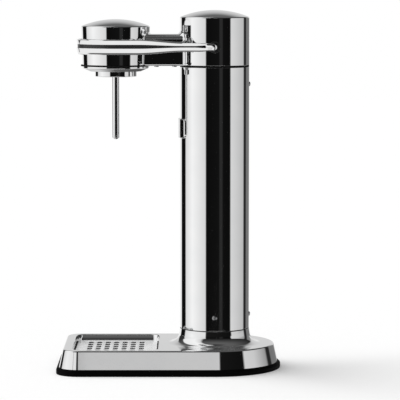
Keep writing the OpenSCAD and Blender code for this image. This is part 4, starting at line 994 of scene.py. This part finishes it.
# degrees between which one set of tones gives way to the next, and how the soft box leans away with height
room = dict(midFrom=(1, 3), highFrom=(18, 24), underFrom=(-9.5, -11), groundFrom=(-34, -42),
    stripFrom=(13.4, 13.9), stripTo=(17.5, 17.0), stripLeast=(0, 0.05),
    behindTurn=(147, 156), behindRise=(-1, 1.5), boxTone=0.95, boxLean=0.55, leanFrom=8.0)


def toneRamp(source, stops):
    # a stepless ramp of grey tones over the stops' span of degrees
    low, high = stops[0][0], stops[-1][0]
    feeds = {"Value": source, "From Min": low, "From Max": high}
    place = addNode(source.id_data, "MapRange", feeds).outputs["Result"]
    ramp = addNode(source.id_data, "ValToRGB", {"Fac": place})
    bar = ramp.color_ramp
    while len(bar.elements) < len(stops):
        bar.elements.new(1.0)
    for element, (at, tone) in zip(bar.elements, stops):
        element.position = (at - low) / (high - low)
        element.color = grey(tone)
    return ramp.outputs["Color"]


def between(source, ends):
    # 0 before the first end and 1 after the second
    feeds = {"Value": source, "From Min": ends[0], "From Max": ends[1]}
    span = addNode(source.id_data, "MapRange", feeds, interpolation_type="SMOOTHSTEP")
    return span.outputs["Result"]


def roomTone(tree):
    # tone by compass angle (turn) and height above the horizon (rise), both in degrees
    spot = addNode(tree, "TexCoord").outputs["Generated"]
    x, y, z = addNode(tree, "SeparateXYZ", {0: spot}).outputs
    turn = mathNode("DEGREES", mathNode("ARCTAN2", x, mathNode("MULTIPLY", y, -1)))
    rise = mathNode("DEGREES", mathNode("ARCSINE", z))
    raised = mathNode("MAXIMUM", mathNode("SUBTRACT", rise, room["leanFrom"]), 0)
    leaned = mathNode("ADD", turn, mathNode("MULTIPLY", raised, room["boxLean"]))
    high = blended(toneRamp(leaned, boxTones), toneRamp(rise, darkTones), grey(room["boxTone"]))
    under = blended(between(rise, room["groundFrom"]), toneRamp(turn, underTones),
        toneRamp(turn, groundTones))
    pale = toneRamp(turn, stripTones)
    inStrip = mathNode("MULTIPLY", between(rise, room["stripFrom"]), between(rise, room["stripTo"]))
    inStrip = mathNode("MULTIPLY", inStrip, between(pale, room["stripLeast"]))
    mid = blended(inStrip, toneRamp(turn, midTones), pale)
    front = blended(between(rise, room["midFrom"]), toneRamp(turn, lowTones), mid)
    front = blended(between(rise, room["highFrom"]), front, high)
    front = blended(between(rise, room["underFrom"]), front, under)
    behind = mathNode("MULTIPLY", between(mathNode("ABSOLUTE", turn), room["behindTurn"]),
        between(rise, room["behindRise"]))
    return blended(behind, front, toneRamp(rise, backTones))


def makeRoom():
    # plain grey light on matt surfaces, the room's tones in mirrors, and white behind everything
    world = bpy.data.worlds.new("studio")
    bpy.context.scene.world = world
    world.use_nodes = True
    world.cycles.sampling_method = "NONE"
    tree = world.node_tree
    tree.nodes.clear()
    plain, mirrored, seen = [addNode(tree, "Background", {"Color": tone}).outputs[0]
        for tone in (grey(studio["ambient"]), roomTone(tree), grey(1))]
    rays = addNode(tree, "LightPath").outputs
    glossy = mathNode("MAXIMUM", rays["Is Glossy Ray"], rays["Is Transmission Ray"])
    inner = addNode(tree, "MixShader", {0: glossy, 1: plain, 2: mirrored}).outputs[0]
    outer = addNode(tree, "MixShader", {0: rays["Is Camera Ray"], 1: inner, 2: seen}).outputs[0]
    addNode(tree, "OutputWorld", {"Surface": outer})


makeFloor()
makeRoom()
makeSun()


# camera at the photograph's angle
view = dict(spot=(0.0357, -2.8, 0.456), aim=(0.0357, 0, 0.19454), lens=218.55, sensor=36, clipEnd=30)
lens = bpy.data.cameras.new("camera")
lens.lens = view["lens"]
lens.sensor_width = view["sensor"]
lens.clip_end = view["clipEnd"]
camera = addObject("camera", lens)
camera.location = view["spot"]
camera.rotation_euler = aimed(Vector(view["aim"]) - Vector(view["spot"]))
bpy.context.scene.camera = camera
bpy.context.scene.view_settings.view_transform = "Standard"
print("studio and camera set")
